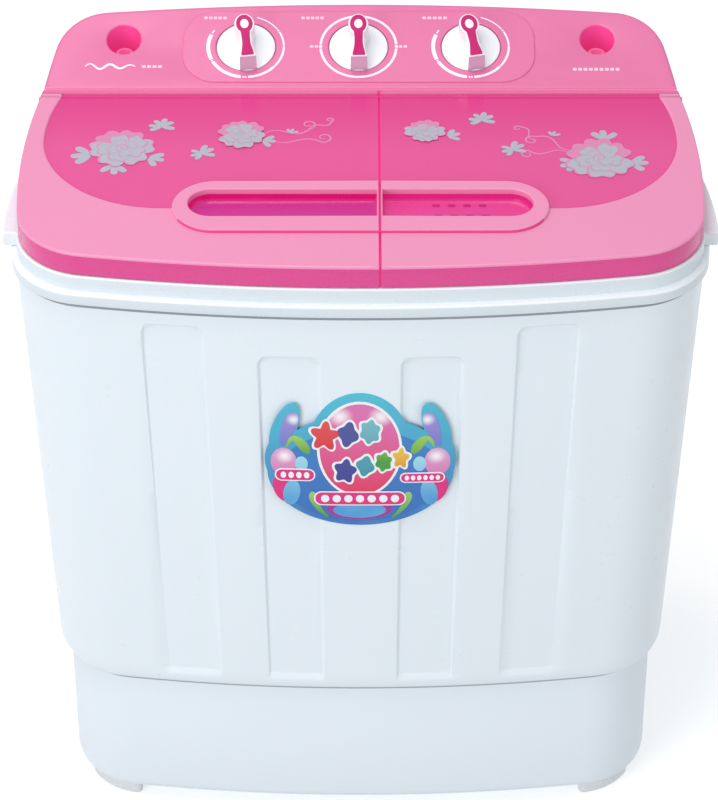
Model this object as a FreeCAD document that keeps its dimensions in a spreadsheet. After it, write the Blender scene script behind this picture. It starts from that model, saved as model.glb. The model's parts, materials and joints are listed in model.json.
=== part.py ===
import FreeCAD, Part

import math
import os

import Sketcher

# Mini twin tub washing machine, as an assembly of separate parts.
# Millimetres. Origin on the floor under the middle of the machine, +X to the user's right,
# +Y to the back, +Z up. The front of the machine looks along -Y.

DOC = FreeCAD.newDocument("twin_tub_washer")

# ---------------------------------------------------------------- driving dimensions

SIZES = {
    # plan outline shared by the moulded shells: four wide bows joined by corner arcs
    "front_bow_radius": 1480,
    "side_bow_radius": 700,
    "back_bow_radius": 3000,
    "side_bow_centre_y": -35,
    "front_corner_radius": 66,
    "back_corner_radius": 48,
    "wall": 3,
    # base tray and feet
    "foot_rise": 14,
    "foot_length": 46,
    "foot_depth": 36,
    "foot_inset": 6,
    "base_top_z": 158,
    "base_half_width": 266,
    "base_front_y": -166,
    "base_back_y": 166,
    "base_edge_radius": 12,
    "base_lip": 12,
    "base_tongue_inset": 4.3,
    "base_tongue": 2,
    "foot_front_y": -130,
    "foot_back_y": 136,
    "foot_edge_radius": 4,
    "vent_length": 90,
    "vent_width": 6,
    "vent_pitch": 14,
    "vent_x": 134,
    "vent_first_y": -60,
    # outer shell
    "seam_half_width": 268.5,
    "seam_front_y": -168,
    "seam_back_y": 168,
    "tuck_z": 175,
    "body_low_half_width": 275.5,
    "body_low_front_y": -172.5,
    "body_low_back_y": 170,
    "body_top_half_width": 290.5,
    "body_top_front_y": -177.5,
    "body_top_back_y": 177,
    "band_bottom_z": 580,
    "band_top_z": 591,
    "band_half_width": 294,
    "band_front_y": -182.5,
    "band_back_y": 182.5,
    "band_ledge": 10,
    "band_edge_radius": 1.5,
    "flute_width": 50,
    "flute_depth": 2.8,
    "flute_corner": 9,
    "flute_inner_x": 59.5,
    "flute_inner_top_z": 534,
    "flute_outer_x": 155,
    "flute_outer_top_z": 562,
    "service_length": 300,
    "service_height": 230,
    "service_low_z": 195,
    "service_lap": 12,
    "service_corner": 12,
    "cover_corner": 16,
    "cover_thickness": 2.2,
    "screw_head_radius": 3.5,
    "screw_head_height": 1.6,
    "screw_inset": 6,
    "screw_y": 177.4,
    "badge_thickness": 0.9,
    "badge_z": 418,
    # twin tub
    "lip_half_width": 288.5,
    "lip_front_y": -175.5,
    "lip_back_y": 178,
    "deck_z": 604.6,
    "tub_wall": 2.5,
    "tub_floor_z": 222,
    "wash_x": -127,
    "spin_x": 141,
    "tub_y": -36,
    "wash_top_length": 268,
    "wash_top_depth": 226,
    "wash_low_length": 236,
    "wash_low_depth": 202,
    "wash_corner": 56,
    "spin_top_radius": 112,
    "spin_low_radius": 106,
    "boot_radius": 24,
    "drain_bore": 10,
    "boot_seat": 4,
    "channel_offset": 30,
    "channel_length": 56,
    "channel_depth": 26,
    "channel_height": 320,
    "channel_y": 65,
    "channel_wall": 3,
    "slot_length": 34,
    "slot_height": 4,
    "slot_pitch": 26,
    # lids
    "lid_half_width": 287.5,
    "lid_front_y": -174.5,
    "lid_low_z": 605.4,
    "bezel_low_z": 623.5,
    "lid_top_z": 626,
    "lid_plate": 3,
    "lid_wall": 2.5,
    "bezel_edge_radius": 1.8,
    "split_x": 16,
    "split_gap": 0.6,
    "rail": 1.8,
    "rib_drop": 6,
    "tray_wall": 2.2,
    "pane_z": 624.6,
    "pane_gap": 0.2,
    "window_half_width": 270,
    "window_front_y": -90,
    "window_corner": 105,
    "window_side_radius": 200,
    "hinge_y": 78.5,
    "hinge_z": 618,
    "barrel_radius": 6.5,
    "barrel_gap": 0.4,
    "hinge_rod": 2,
    "hinge_block": 8,
    "hinge_post": 10,
    "hinge_outer_x": 250,
    "wash_hinge_inner_x": -10,
    "spin_hinge_inner_x": 42,
    "hinge_rod_length": 32,
    "grip_half_length": 156.5,
    "grip_half_depth": 36.2,
    "grip_y": -90.5,
    "grip_rise": 2,
    "grip_edge_radius": 1,
    "recess_half_length": 143.5,
    "recess_half_depth": 19.3,
    "recess_y": -86.1,
    "recess_floor_z": 613,
    # console
    "console_front_y": 88,
    "console_half_width": 287.5,
    "console_back_y": 177,
    "panel_low_y": 84,
    "panel_low_z": 626,
    "panel_top_y": 176,
    "panel_top_z": 660.7,
    "console_edge_radius": 4,
    "pad_half_width": 156,
    "pad_front_y": 92,
    "pad_depth": 78,
    "pad_corner": 30,
    "pad_rise": 1.2,
    "knob_pitch": 98.7,
    "knob_centre_x": -1.8,
    "knob_y": 130.5,
    "dial_radius": 25.7,
    "dial_well_radius": 26.4,
    "dial_well": 1.6,
    "dial_thickness": 2.4,
    "knob_grip_height": 19,
    "loop_radius": 9.4,
    "loop_y": 17,
    "inlay_margin": 1.6,
    "loop_window": 4.4,
    "inlay_thickness": 0.6,
    "spindle_radius": 3,
    "spindle_length": 30,
    "running_gap": 0.05,
    "timer_gap": 0.2,
    "timer_length": 50,
    "timer_width": 36,
    "timer_height": 26,
    "selector_length": 34,
    "selector_width": 30,
    "selector_height": 9,
    "inlet_x": 208,
    "inlet_y": 139,
    "inlet_hole_radius": 15,
    "inlet_cup_wall": 2,
    "inlet_floor_z": 614,
    "spigot_radius": 8.5,
    "spigot_tail": 8,
    "spigot_bore": 6,
    "spigot_top_z": 636,
    # side grips
    "handle_half_width": 298.5,
    "handle_widest_y": -86,
    "handle_bow_radius": 369,
    "handle_front_y": -94,
    "handle_low_z": 591.4,
    "handle_length": 110,
    # wash drive
    "pulsator_radius": 82,
    "pulsator_z": 228,
    "shaft_radius": 6,
    "housing_radius": 18,
    "bush_radius": 12,
    "bush_length": 14,
    "housing_drop": 20,
    "housing_flange": 4,
    "seal_height": 5,
    "pulley_z": 128,
    "pulley_width": 14,
    "driven_pulley_radius": 54,
    "motor_pulley_radius": 15,
    "groove_depth": 5,
    "motor_offset": 105,
    "belt_height": 3.6,
    "belt_gap": 0.1,
    "motor_radius": 46,
    "motor_low_z": 38,
    "motor_top_z": 108,
    "motor_wall": 4,
    "rotor_radius": 34,
    "rotor_gap": 6,
    "motor_shaft_radius": 5,
    "bracket_width": 116,
    "bracket_plate": 3,
    "bracket_leg_radius": 5,
    "bracket_leg_offset": 50,
    "capacitor_radius": 17,
    "capacitor_height": 62,
    "capacitor_y": -120,
    # spin drive
    "basket_low_radius": 91,
    "basket_top_radius": 97,
    "basket_low_z": 242,
    "basket_top_z": 584,
    "basket_wall": 1.8,
    "basket_mouth": 86,
    "basket_hole_radius": 3,
    "basket_hole_first": 50,
    "basket_hole_pitch": 58,
    "hub_radius": 24,
    "hub_height": 22,
    "press_radius": 90,
    "press_z": 584,
    "press_plate": 3,
    "press_grip_radius": 14,
    "press_grip_bore": 9,
    "press_grip_height": 9,
    "spin_shaft_radius": 8,
    "drum_radius": 38,
    "drum_z": 150,
    "drum_height": 24,
    "brake_gap": 2,
    "drum_wall": 4,
    "drum_floor": 5,
    "drum_hub_radius": 14,
    "drum_hub_height": 48,
    "lever_length": 104,
    "lever_width": 6,
    "lever_height": 10,
    "lever_rise": 7,
    "shoe_length": 26,
    "pivot_radius": 4,
    "pivot_collar": 8,
    "cable_radius": 2,
    "cable_reach": 95,
    "switch_length": 26,
    "switch_width": 16,
    "switch_y": 104,
    "carrier_radius": 66,
    "carrier_rise": 34,
    "carrier_plate": 4,
    "spring_circle": 57,
    "spring_radius": 5.5,
    "spring_wire": 1.1,
    # drain
    "valve_x": -2,
    "valve_y": 122,
    "valve_low_z": 96,
    "valve_top_z": 176,
    "valve_radius": 22,
    "valve_plug_radius": 15,
    "valve_plug_z": 105,
    "valve_stem_radius": 2.5,
    "valve_wall": 3,
    "valve_disc": 9,
    "valve_spring_radius": 7,
    "valve_spring_wire": 0.9,
    "stem_top_z": 616,
    "hook_length": 12,
    "hook_width": 5,
    "hook_height": 4,
    "pipe_wall": 2,
    "hose_radius": 14,
    "hose_bore": 10.5,
    "hose_z": 116,
    "hose_gap": 0.2,
    "hose_rib": 2,
    "hose_rib_pitch": 4.5,
    "cord_radius": 3.5,
    "harness_radius": 3,
}


class Size:
    """A length that knows its value and the spreadsheet expression it comes from."""

    def __init__(self, value, text):
        self.value = float(value)
        self.text = text

    def _with(self, other, sign, value, swap=False):
        other_text = other.text if isinstance(other, Size) else repr(other)
        first, second = (other_text, self.text) if swap else (self.text, other_text)
        return Size(value, f"({first} {sign} {second})")

    def __add__(self, other):
        return self._with(other, "+", self.value + plain(other))

    def __radd__(self, other):
        return self._with(other, "+", plain(other) + self.value, swap=True)

    def __sub__(self, other):
        return self._with(other, "-", self.value - plain(other))

    def __rsub__(self, other):
        return self._with(other, "-", plain(other) - self.value, swap=True)

    def __mul__(self, other):
        return self._with(other, "*", self.value * plain(other))

    def __rmul__(self, other):
        return self._with(other, "*", plain(other) * self.value, swap=True)

    def __truediv__(self, other):
        return self._with(other, "/", self.value / plain(other))

    def __neg__(self):
        return Size(-self.value, f"(0 - {self.text})")


def plain(size):
    """The number behind a Size, or the number itself."""
    return size.value if isinstance(size, Size) else float(size)


class Dimensions:
    """The spreadsheet of driving dimensions, read as d.alias."""

    def __init__(self, sizes):
        sheet = DOC.addObject("Spreadsheet::Sheet", "sheet")
        for row, (alias, value) in enumerate(sizes.items(), start=1):
            sheet.set(f"A{row}", alias)
            sheet.set(f"B{row}", str(value))
            sheet.setAlias(f"B{row}", alias)
        DOC.recompute()
        self._sheet = sheet

    def __getattr__(self, alias):
        return Size(self._sheet.get(alias), f"sheet.{alias}")


d = Dimensions(SIZES)
PARTS = {}

# how far cutting tools run past what they cut, and lengths that cross the whole machine
OVERRUN = 1
THROUGH = 20
ACROSS = 600
WASH_DRAIN = (-36, 46)
SPIN_DRAIN = (104, 44)
BRAKE_PIVOT = (92, 18)
CORD_X, CORD_Z = 200, 60


def keep(obj, label):
    """Marks a document object as a sub-part of the machine, under its file's name."""
    obj.Label = label
    PARTS[label] = obj
    return obj


def bind(obj, path, size):
    """Binds a property to the sheet, or sets it where the size is a plain number."""
    if isinstance(size, Size):
        obj.setExpression(path, size.text)
    else:
        obj.setExpression(path, repr(float(size)))


def place(obj, x=0, y=0, z=0):
    for axis, size in zip("xyz", (x, y, z)):
        bind(obj, f"Placement.Base.{axis}", size)
    return obj


# ---------------------------------------------------------------- primitives and booleans

TURNED = {
    "z": FreeCAD.Rotation(),
    "x": FreeCAD.Rotation(FreeCAD.Vector(0, 1, 0), 90),
    "y": FreeCAD.Rotation(FreeCAD.Vector(1, 0, 0), -90),
}


def box(length, width, height, x=0, y=0, z=0):
    obj = DOC.addObject("Part::Box", "box")
    bind(obj, "Length", length)
    bind(obj, "Width", width)
    bind(obj, "Height", height)
    return place(obj, x, y, z)


def centred_box(length, width, height, x=0, y=0, z=0):
    """A box centred on x and y that stands on z."""
    return box(length, width, height, x - length / 2, y - width / 2, z)


def cylinder(radius, height, x=0, y=0, z=0, along="z"):
    obj = DOC.addObject("Part::Cylinder", "cylinder")
    bind(obj, "Radius", radius)
    bind(obj, "Height", height)
    obj.Placement.Rotation = TURNED[along]
    return place(obj, x, y, z)


def cone(low_radius, top_radius, height, x=0, y=0, z=0):
    obj = DOC.addObject("Part::Cone", "cone")
    bind(obj, "Radius1", low_radius)
    bind(obj, "Radius2", top_radius)
    bind(obj, "Height", height)
    return place(obj, x, y, z)


def cut(base, *tools):
    for tool in tools:
        obj = DOC.addObject("Part::Cut", "cut")
        obj.Base, obj.Tool = base, tool
        base = obj
    return base


def fuse(*shapes):
    obj = DOC.addObject("Part::MultiFuse", "fuse")
    obj.Shapes = list(shapes)
    return obj


def common(base, tool):
    obj = DOC.addObject("Part::Common", "common")
    obj.Base, obj.Tool = base, tool
    return obj


def group(*shapes):
    """Identical pieces that share one node as separate solids."""
    obj = DOC.addObject("Part::Compound", "group")
    obj.Links = list(shapes)
    return obj


def ring(outer_radius, inner_radius, height, x=0, y=0, z=0, along="z"):
    return cut(
        cylinder(outer_radius, height, x, y, z, along),
        cylinder(inner_radius, height, x, y, z, along),
    )


def rounded(base, radius, chosen):
    """Rounds the edges of base for which chosen(edge) is true."""
    DOC.recompute()
    obj = DOC.addObject("Part::Fillet", "rounded")
    obj.Base = base
    edges = [(i, radius, radius) for i, e in enumerate(base.Shape.Edges, 1) if chosen(e)]
    obj.Edges = edges
    return obj


# ---------------------------------------------------------------- sketches and bodies


def new_body():
    return DOC.addObject("PartDesign::Body", "body")


def new_sketch(body, role="XY_Plane", height=0):
    sketch = body.newObject("Sketcher::SketchObject", "sketch")
    plane = next(f for f in body.Origin.OriginFeatures if f.Role == role)
    sketch.AttachmentSupport = [(plane, "")]
    sketch.MapMode = "FlatFace"
    bind(sketch, "AttachmentOffset.Base.z", height)
    return sketch


def dimension(sketch, kind, arguments, size):
    """Adds one dimensional constraint and binds it to the sheet."""
    index = sketch.addConstraint(Sketcher.Constraint(kind, *arguments, plain(size)))
    if isinstance(size, Size):
        sketch.setExpression(f"Constraints[{index}]", size.text)


def fix_point(sketch, geometry, end, x, y):
    """Holds one point of a sketch at x, y from its origin."""
    for kind, axis, size in (("DistanceX", -2, x), ("DistanceY", -1, y)):
        if isinstance(size, Size) or size != 0:
            dimension(sketch, kind, (-1, 1, geometry, end), size)
        else:
            sketch.addConstraint(Sketcher.Constraint("PointOnObject", geometry, end, axis))


def draw_polygon(sketch, points):
    """A closed outline of straight lines through points of (x, y)."""
    vectors = [FreeCAD.Vector(plain(x), plain(y), 0) for x, y in points]
    first = sketch.GeometryCount
    count = len(points)
    for i in range(count):
        sketch.addGeometry(Part.LineSegment(vectors[i], vectors[(i + 1) % count]))
    for i in range(count):
        following = first + (i + 1) % count
        sketch.addConstraint(Sketcher.Constraint("Coincident", first + i, 2, following, 1))
        fix_point(sketch, first + i, 1, *points[i])


def draw_arc_chain(sketch, arcs):
    """A closed chain of tangent arcs, each (centre x, centre y, radius, start, end, held).
    Angles are in radians, anticlockwise. held says which of the centre's coordinates are given."""
    count = len(arcs)
    first = sketch.GeometryCount
    for x, y, radius, start, end, _held in arcs:
        circle = Part.Circle(FreeCAD.Vector(plain(x), plain(y), 0), FreeCAD.Vector(0, 0, 1), plain(radius))
        sketch.addGeometry(Part.ArcOfCircle(circle, start, end))
    for i in range(count):
        following = first + (i + 1) % count
        sketch.addConstraint(Sketcher.Constraint("Tangent", first + i, 2, following, 1))
    for i, (x, y, radius, _start, _end, held) in enumerate(arcs, first):
        dimension(sketch, "Radius", (i,), radius)
        if held:
            fix_point(sketch, i, 3, x, y)


def circle_meet(a, b, outside):
    """The meeting point of two circles (x, y, r) that lies furthest along the vector outside."""
    gap = math.hypot(b[0] - a[0], b[1] - a[1])
    along = (a[2] ** 2 - b[2] ** 2 + gap**2) / (2 * gap)
    across = math.sqrt(a[2] ** 2 - along**2)
    ux, uy = (b[0] - a[0]) / gap, (b[1] - a[1]) / gap
    middle = (a[0] + along * ux, a[1] + along * uy)
    points = [(middle[0] - s * across * uy, middle[1] + s * across * ux) for s in (1, -1)]
    return max(points, key=lambda p: p[0] * outside[0] + p[1] * outside[1])


def draw_shell_outline(sketch, half_width, front_y, back_y, inset=0):
    """The moulded shells' plan: bowed front, sides and back joined by corner arcs, moved in by inset."""
    front_r, side_r, back_r = d.front_bow_radius, d.side_bow_radius, d.back_bow_radius
    bows = [
        (0, front_y + front_r, front_r - inset),
        (half_width - side_r, d.side_bow_centre_y, side_r - inset),
        (0, back_y - back_r, back_r - inset),
        (side_r - half_width, d.side_bow_centre_y, side_r - inset),
    ]
    corner_radii = [d.front_corner_radius - inset, d.back_corner_radius - inset]
    corner_radii = [corner_radii[0], corner_radii[1], corner_radii[1], corner_radii[0]]
    outward = [(1, -1), (1, 1), (-1, 1), (-1, -1)]
    corners = []
    for i in range(4):
        r = plain(corner_radii[i])
        a, b = ([plain(v) for v in bows[k]] for k in (i, (i + 1) % 4))
        corners.append(circle_meet((a[0], a[1], a[2] - r), (b[0], b[1], b[2] - r), outward[i]))
    arcs = []
    for i in range(4):
        x, y, radius = bows[i]
        before, after = corners[i - 1], corners[i]
        start, end = (math.atan2(c[1] - plain(y), c[0] - plain(x)) for c in (before, after))
        arcs.append((x, y, radius, start, end if end > start else end + 2 * math.pi, True))
        following = bows[(i + 1) % 4]
        ends = [math.atan2(after[1] - plain(b[1]), after[0] - plain(b[0])) for b in (bows[i], following)]
        ends[1] += 2 * math.pi if ends[1] < ends[0] else 0
        arcs.append((after[0], after[1], corner_radii[i], ends[0], ends[1], False))
    draw_arc_chain(sketch, arcs)


def draw_rounded_rectangle(sketch, x0, y0, x1, y1, radius):
    """A rectangle with round corners, whose corner centres are held."""
    left, right = x0 + radius, x1 - radius
    front, back = y0 + radius, y1 - radius
    centres = [(right, front), (right, back), (left, back), (left, front)]
    first = sketch.GeometryCount
    turn = math.pi / 2
    for i, (x, y) in enumerate(centres):
        circle = Part.Circle(FreeCAD.Vector(plain(x), plain(y), 0), FreeCAD.Vector(0, 0, 1), plain(radius))
        sketch.addGeometry(Part.ArcOfCircle(circle, (i - 1) * turn, i * turn))
    for i in range(4):
        ends = [sketch.getPoint(first + i, 2), sketch.getPoint(first + (i + 1) % 4, 1)]
        sketch.addGeometry(Part.LineSegment(*ends))
    for i, (x, y) in enumerate(centres):
        line = first + 4 + i
        sketch.addConstraint(Sketcher.Constraint("Tangent", first + i, 2, line, 1))
        sketch.addConstraint(Sketcher.Constraint("Tangent", line, 2, first + (i + 1) % 4, 1))
        fix_point(sketch, first + i, 3, x, y)
    dimension(sketch, "Radius", (first,), radius)


def pad(body, sketch, length):
    obj = body.newObject("PartDesign::Pad", "pad")
    obj.Profile = sketch
    bind(obj, "Length", length)
    return obj


def loft(body, *sketches):
    obj = body.newObject("PartDesign::AdditiveLoft", "loft")
    obj.Profile = sketches[0]
    obj.Sections = list(sketches[1:])
    obj.Ruled = True
    return obj


def revolve(points, x=0, y=0, z=0):
    """A body turned about its own Z axis from points of (radius, height)."""
    body = new_body()
    sketch = new_sketch(body, "XZ_Plane")
    draw_polygon(sketch, points)
    obj = body.newObject("PartDesign::Revolution", "revolution")
    obj.Profile = sketch
    obj.ReferenceAxis = (sketch, ["V_Axis"])
    return place(body, x, y, z)


def shell_layer(low, top, inset=0):
    """A solid between two shell outlines, each (z, half width, front y, back y)."""
    body = new_body()
    sketches = []
    for z, half_width, front_y, back_y in (low, top):
        sketches.append(new_sketch(body, height=z))
        draw_shell_outline(sketches[-1], half_width, front_y, back_y, inset)
    loft(body, *sketches)
    return body


# ---------------------------------------------------------------- shared shell pieces

EDGE_MARGIN = 0.1
FRONT_AWAY = -100
BACK_NEAR, BACK_AWAY = 120, 200


def shell_pad(low_z, top_z, half_width, front_y, back_y, inset=0):
    """An upright slab with the shell outline."""
    body = new_body()
    sketch = new_sketch(body, height=low_z)
    draw_shell_outline(sketch, half_width, front_y, back_y, inset)
    pad(body, sketch, top_z - low_z)
    return body


def round_level(body, z, radius):
    """Rounds the edges of a body that lie flat at height z."""
    DOC.recompute()
    level = plain(z)
    names = []
    for i, edge in enumerate(body.Shape.Edges, 1):
        reach = edge.BoundBox
        if abs(reach.ZMax - level) < EDGE_MARGIN and abs(reach.ZMin - level) < EDGE_MARGIN:
            names.append(f"Edge{i}")
    last = body.Tip
    obj = body.newObject("PartDesign::Fillet", "fillet")
    obj.Base = (last, names)
    bind(obj, "Radius", radius)
    body.Tip = obj
    return body


def stadium(half_length, half_depth, low_z, height, y):
    """A slab with two straight sides and two half round ends, centred on x = 0."""
    reach = half_length - half_depth
    return fuse(
        box(reach * 2, half_depth * 2, height, -reach, y - half_depth, low_z),
        cylinder(half_depth, height, -reach, y, low_z),
        cylinder(half_depth, height, reach, y, low_z),
    )


def rod(start, end, radius):
    """A straight round bar between two points."""
    a, b = (FreeCAD.Vector(*(plain(v) for v in point)) for point in (start, end))
    obj = DOC.addObject("Part::Cylinder", "rod")
    bind(obj, "Radius", radius)
    obj.Height = (b - a).Length
    obj.Placement = FreeCAD.Placement(a, FreeCAD.Rotation(FreeCAD.Vector(0, 0, 1), b - a))
    return obj


def bent_rod(points, radius):
    """Round bars end to end, with a ball at each bend."""
    pieces = [rod(a, b, radius) for a, b in zip(points, points[1:])]
    for point in points[1:-1]:
        ball = DOC.addObject("Part::Sphere", "bend")
        bind(ball, "Radius", radius)
        pieces.append(place(ball, *point))
    return fuse(*pieces)


# ---------------------------------------------------------------- base and feet


def make_base_tray():
    outer = shell_pad(d.foot_rise, d.base_top_z, d.base_half_width, d.base_front_y, d.base_back_y)
    round_level(outer, d.foot_rise, d.base_edge_radius)
    plan = (d.base_half_width, d.base_front_y, d.base_back_y)
    inner = shell_pad(d.foot_rise + d.wall, d.base_top_z + 1, *plan, d.wall)
    round_level(inner, d.foot_rise + d.wall, d.base_edge_radius - d.wall)
    lip_low, lip_top = d.base_top_z - d.base_lip, d.base_top_z + d.base_lip
    lip = cut(
        fuse(
            shell_pad(lip_low, d.base_top_z, *plan, d.wall - EDGE_MARGIN),
            shell_pad(lip_low, lip_top, *plan, d.base_tongue_inset),
        ),
        shell_pad(lip_low - OVERRUN, lip_top + OVERRUN, *plan, d.base_tongue_inset + d.base_tongue),
    )
    hole_y = d.base_back_y - THROUGH
    hose_hole = cylinder(d.hose_radius + d.hose_gap, THROUGH * 2, d.valve_x, hole_y, d.hose_z, "y")
    cord_hole = cylinder(d.cord_radius, THROUGH * 2, CORD_X, hole_y, CORD_Z, "y")
    vents = []
    for side in (-1, 1):
        for i in range(5):
            y = d.vent_first_y + d.vent_pitch * i
            vents.append(
                centred_box(d.vent_length, d.vent_width, THROUGH, d.vent_x * side, y, d.foot_rise - OVERRUN)
            )
    return cut(fuse(cut(outer, inner), lip), hose_hole, cord_hole, group(*vents))


def make_feet():
    sole = shell_pad(0, d.foot_rise, d.base_half_width, d.base_front_y, d.base_back_y, d.foot_inset)
    round_level(sole, 0, d.foot_edge_radius)
    feet = []
    for side in (-1, 1):
        for y in (d.foot_front_y, d.foot_back_y):
            block = centred_box(d.foot_length * 2, d.foot_depth, d.foot_rise, d.base_half_width * side, y)
            feet.append(common(sole, block))
    return group(*feet)


# ---------------------------------------------------------------- outer shell

def body_solid(inset, low_z, top_z):
    """The outer shell's form without its rim band, as two lofted layers."""
    seam = (low_z, d.seam_half_width, d.seam_front_y, d.seam_back_y)
    middle = (d.tuck_z, d.body_low_half_width, d.body_low_front_y, d.body_low_back_y)
    top = (top_z, d.body_top_half_width, d.body_top_front_y, d.body_top_back_y)
    return fuse(shell_layer(seam, middle, inset), shell_layer(middle, top, inset))


FLUTE_TAPER = 0.955  # how far in the flutes have moved at their lower ends
FLUTE_REACH = 120


def flute_prisms(grow):
    """Upright bars that mark out the flutes on the front, each side moved out by grow."""
    prisms = []
    half = d.flute_width / 2 + grow
    for x, top in ((d.flute_inner_x, d.flute_inner_top_z), (d.flute_outer_x, d.flute_outer_top_z)):
        for side in (-1, 1):
            low_z = d.base_top_z - THROUGH
            body = new_body()
            sketch = new_sketch(body, "XZ_Plane", -FRONT_AWAY)
            near, far = (x - half) * side, (x + half) * side
            low_near, low_far = near * FLUTE_TAPER, far * FLUTE_TAPER
            points = [(low_near, low_z), (low_far, low_z), (far, top + grow), (near, top + grow)]
            draw_polygon(sketch, points if side > 0 else points[::-1])
            pad(body, sketch, FLUTE_REACH)
            prisms.append(round_flute_top(body, plain(top + grow)))
    return prisms


def round_flute_top(body, level):
    """Rounds the two upper corners of a flute's bar, whose edges run along Y at the given height."""
    DOC.recompute()
    names = []
    for i, edge in enumerate(body.Shape.Edges, 1):
        reach = edge.BoundBox
        if abs(reach.ZMin - level) < EDGE_MARGIN and reach.YLength > FLUTE_REACH / 2:
            names.append(f"Edge{i}")
    last = body.Tip
    corner = body.newObject("PartDesign::Fillet", "corner")
    corner.Base = (last, names)
    bind(corner, "Radius", d.flute_corner)
    body.Tip = corner
    return body


def make_outer_shell():
    ledge_z = d.band_bottom_z + d.wall
    form = body_solid(0, d.base_top_z, d.band_bottom_z)
    flutes = cut(fuse(*flute_prisms(0)), body_solid(d.flute_depth, d.base_top_z, d.band_bottom_z))
    band_plan = (d.band_half_width, d.band_front_y, d.band_back_y)
    band = shell_pad(d.band_bottom_z, d.band_top_z, *band_plan)
    round_level(band, d.band_top_z, d.band_edge_radius)
    cavity = body_solid(d.wall, d.base_top_z, ledge_z)
    ribs = cut(fuse(*flute_prisms(d.wall)), body_solid(d.wall + d.flute_depth, d.base_top_z, ledge_z))
    mouth = shell_pad(ledge_z - OVERRUN, d.band_top_z, *band_plan, d.band_ledge)
    lap = d.service_lap * 2
    service = rounded_plate(d.service_length - lap, d.service_height - lap, d.service_corner)
    return cut(fuse(cut(form, flutes), band), cut(cavity, ribs), mouth, service)


def rounded_plate(length, height, corner):
    """An upright slab through the back of the shell, centred on the service opening."""
    body = new_body()
    sketch = new_sketch(body, "XZ_Plane", -BACK_AWAY)
    middle = d.service_low_z + d.service_height / 2
    low_z, top_z = middle - height / 2, middle + height / 2
    draw_rounded_rectangle(sketch, -length / 2, low_z, length / 2, top_z, corner)
    pad(body, sketch, BACK_AWAY - BACK_NEAR)
    return body


def make_back_cover():
    outside = body_solid(-d.cover_thickness, d.base_top_z, d.band_bottom_z)
    layer = cut(outside, body_solid(0, d.base_top_z, d.band_bottom_z))
    return common(layer, rounded_plate(d.service_length, d.service_height, d.cover_corner))


def make_case_screws():
    screws = []
    middle = d.service_low_z + d.service_height / 2
    for side in (-1, 1):
        for level in (-1, 1):
            x = (d.service_length / 2 - d.screw_inset) * side
            z = middle + (d.service_height / 2 - d.screw_inset) * level
            screws.append(cylinder(d.screw_head_radius, d.screw_head_height, x, d.screw_y, z, "y"))
    return group(*screws)


BADGE_LOBES = [(0, 30, 44), (-32, -6, 46), (32, -6, 46), (0, -20, 50)]  # x, height, radius


def make_front_badge():
    """A thin emblem plate that follows the front of the shell."""
    outside = body_solid(-d.badge_thickness, d.base_top_z, d.band_bottom_z)
    layer = cut(outside, body_solid(0, d.base_top_z, d.band_bottom_z))
    rounds = [cylinder(r, -FRONT_AWAY, x, FRONT_AWAY * 2, d.badge_z + z, "y") for x, z, r in BADGE_LOBES]
    return common(layer, fuse(*rounds))


# ---------------------------------------------------------------- twin tub and side grips


def lip_pad(low_z, top_z, inset=0):
    return shell_pad(low_z, top_z, d.lip_half_width, d.lip_front_y, d.lip_back_y, inset)


def wash_tub_solid(grow, floor_z):
    body = new_body()
    sketches = []
    levels = ((floor_z, d.wash_low_length, d.wash_low_depth), (d.deck_z, d.wash_top_length, d.wash_top_depth))
    for z, length, depth in levels:
        sketch = new_sketch(body, height=z)
        x, y = length / 2 + grow, depth / 2 + grow
        front, back = d.tub_y - y, d.tub_y + y
        draw_rounded_rectangle(sketch, d.wash_x - x, front, d.wash_x + x, back, d.wash_corner + grow)
        sketches.append(sketch)
    loft(body, *sketches)
    return body


def spin_tub_solid(grow, floor_z):
    low, top = d.spin_low_radius + grow, d.spin_top_radius + grow
    return cone(low, top, d.deck_z - floor_z, d.spin_x, d.tub_y, floor_z)


def make_twin_tub():
    deck = cut(lip_pad(d.band_top_z, d.deck_z), lip_pad(d.band_top_z, d.deck_z - d.wall, d.wall))
    tubs = fuse(
        deck,
        wash_tub_solid(d.tub_wall, d.tub_floor_z - d.tub_wall),
        spin_tub_solid(d.tub_wall, d.tub_floor_z - d.tub_wall),
    )
    low, high = d.tub_floor_z - THROUGH / 2, d.deck_z - THROUGH / 2
    return cut(
        tubs,
        wash_tub_solid(0, d.tub_floor_z),
        spin_tub_solid(0, d.tub_floor_z),
        cylinder(d.bush_radius, THROUGH, d.wash_x, d.tub_y, low),
        cylinder(d.boot_radius - d.boot_seat, THROUGH, d.spin_x, d.tub_y, low),
        cylinder(d.drain_bore, THROUGH, *WASH_DRAIN, low),
        cylinder(d.drain_bore, THROUGH, *SPIN_DRAIN, low),
        cylinder(d.valve_stem_radius * 2, THROUGH, d.valve_x, d.valve_y, high),
        *[cylinder(d.spigot_bore, THROUGH, d.inlet_x * side, d.inlet_y, high) for side in (-1, 1)],
    )


def make_side_grip(side):
    height = d.deck_z - d.handle_low_z
    bow = cylinder(
        d.handle_bow_radius,
        height,
        (d.handle_half_width - d.handle_bow_radius) * side,
        d.handle_widest_y,
        d.handle_low_z,
    )
    outer = ACROSS / 2
    start = outer - THROUGH * 2 if side > 0 else -outer
    reach = box(THROUGH * 2, d.handle_length, height, start, d.handle_front_y, d.handle_low_z)
    return cut(common(bow, reach), lip_pad(d.handle_low_z - OVERRUN, d.deck_z + OVERRUN))


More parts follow.
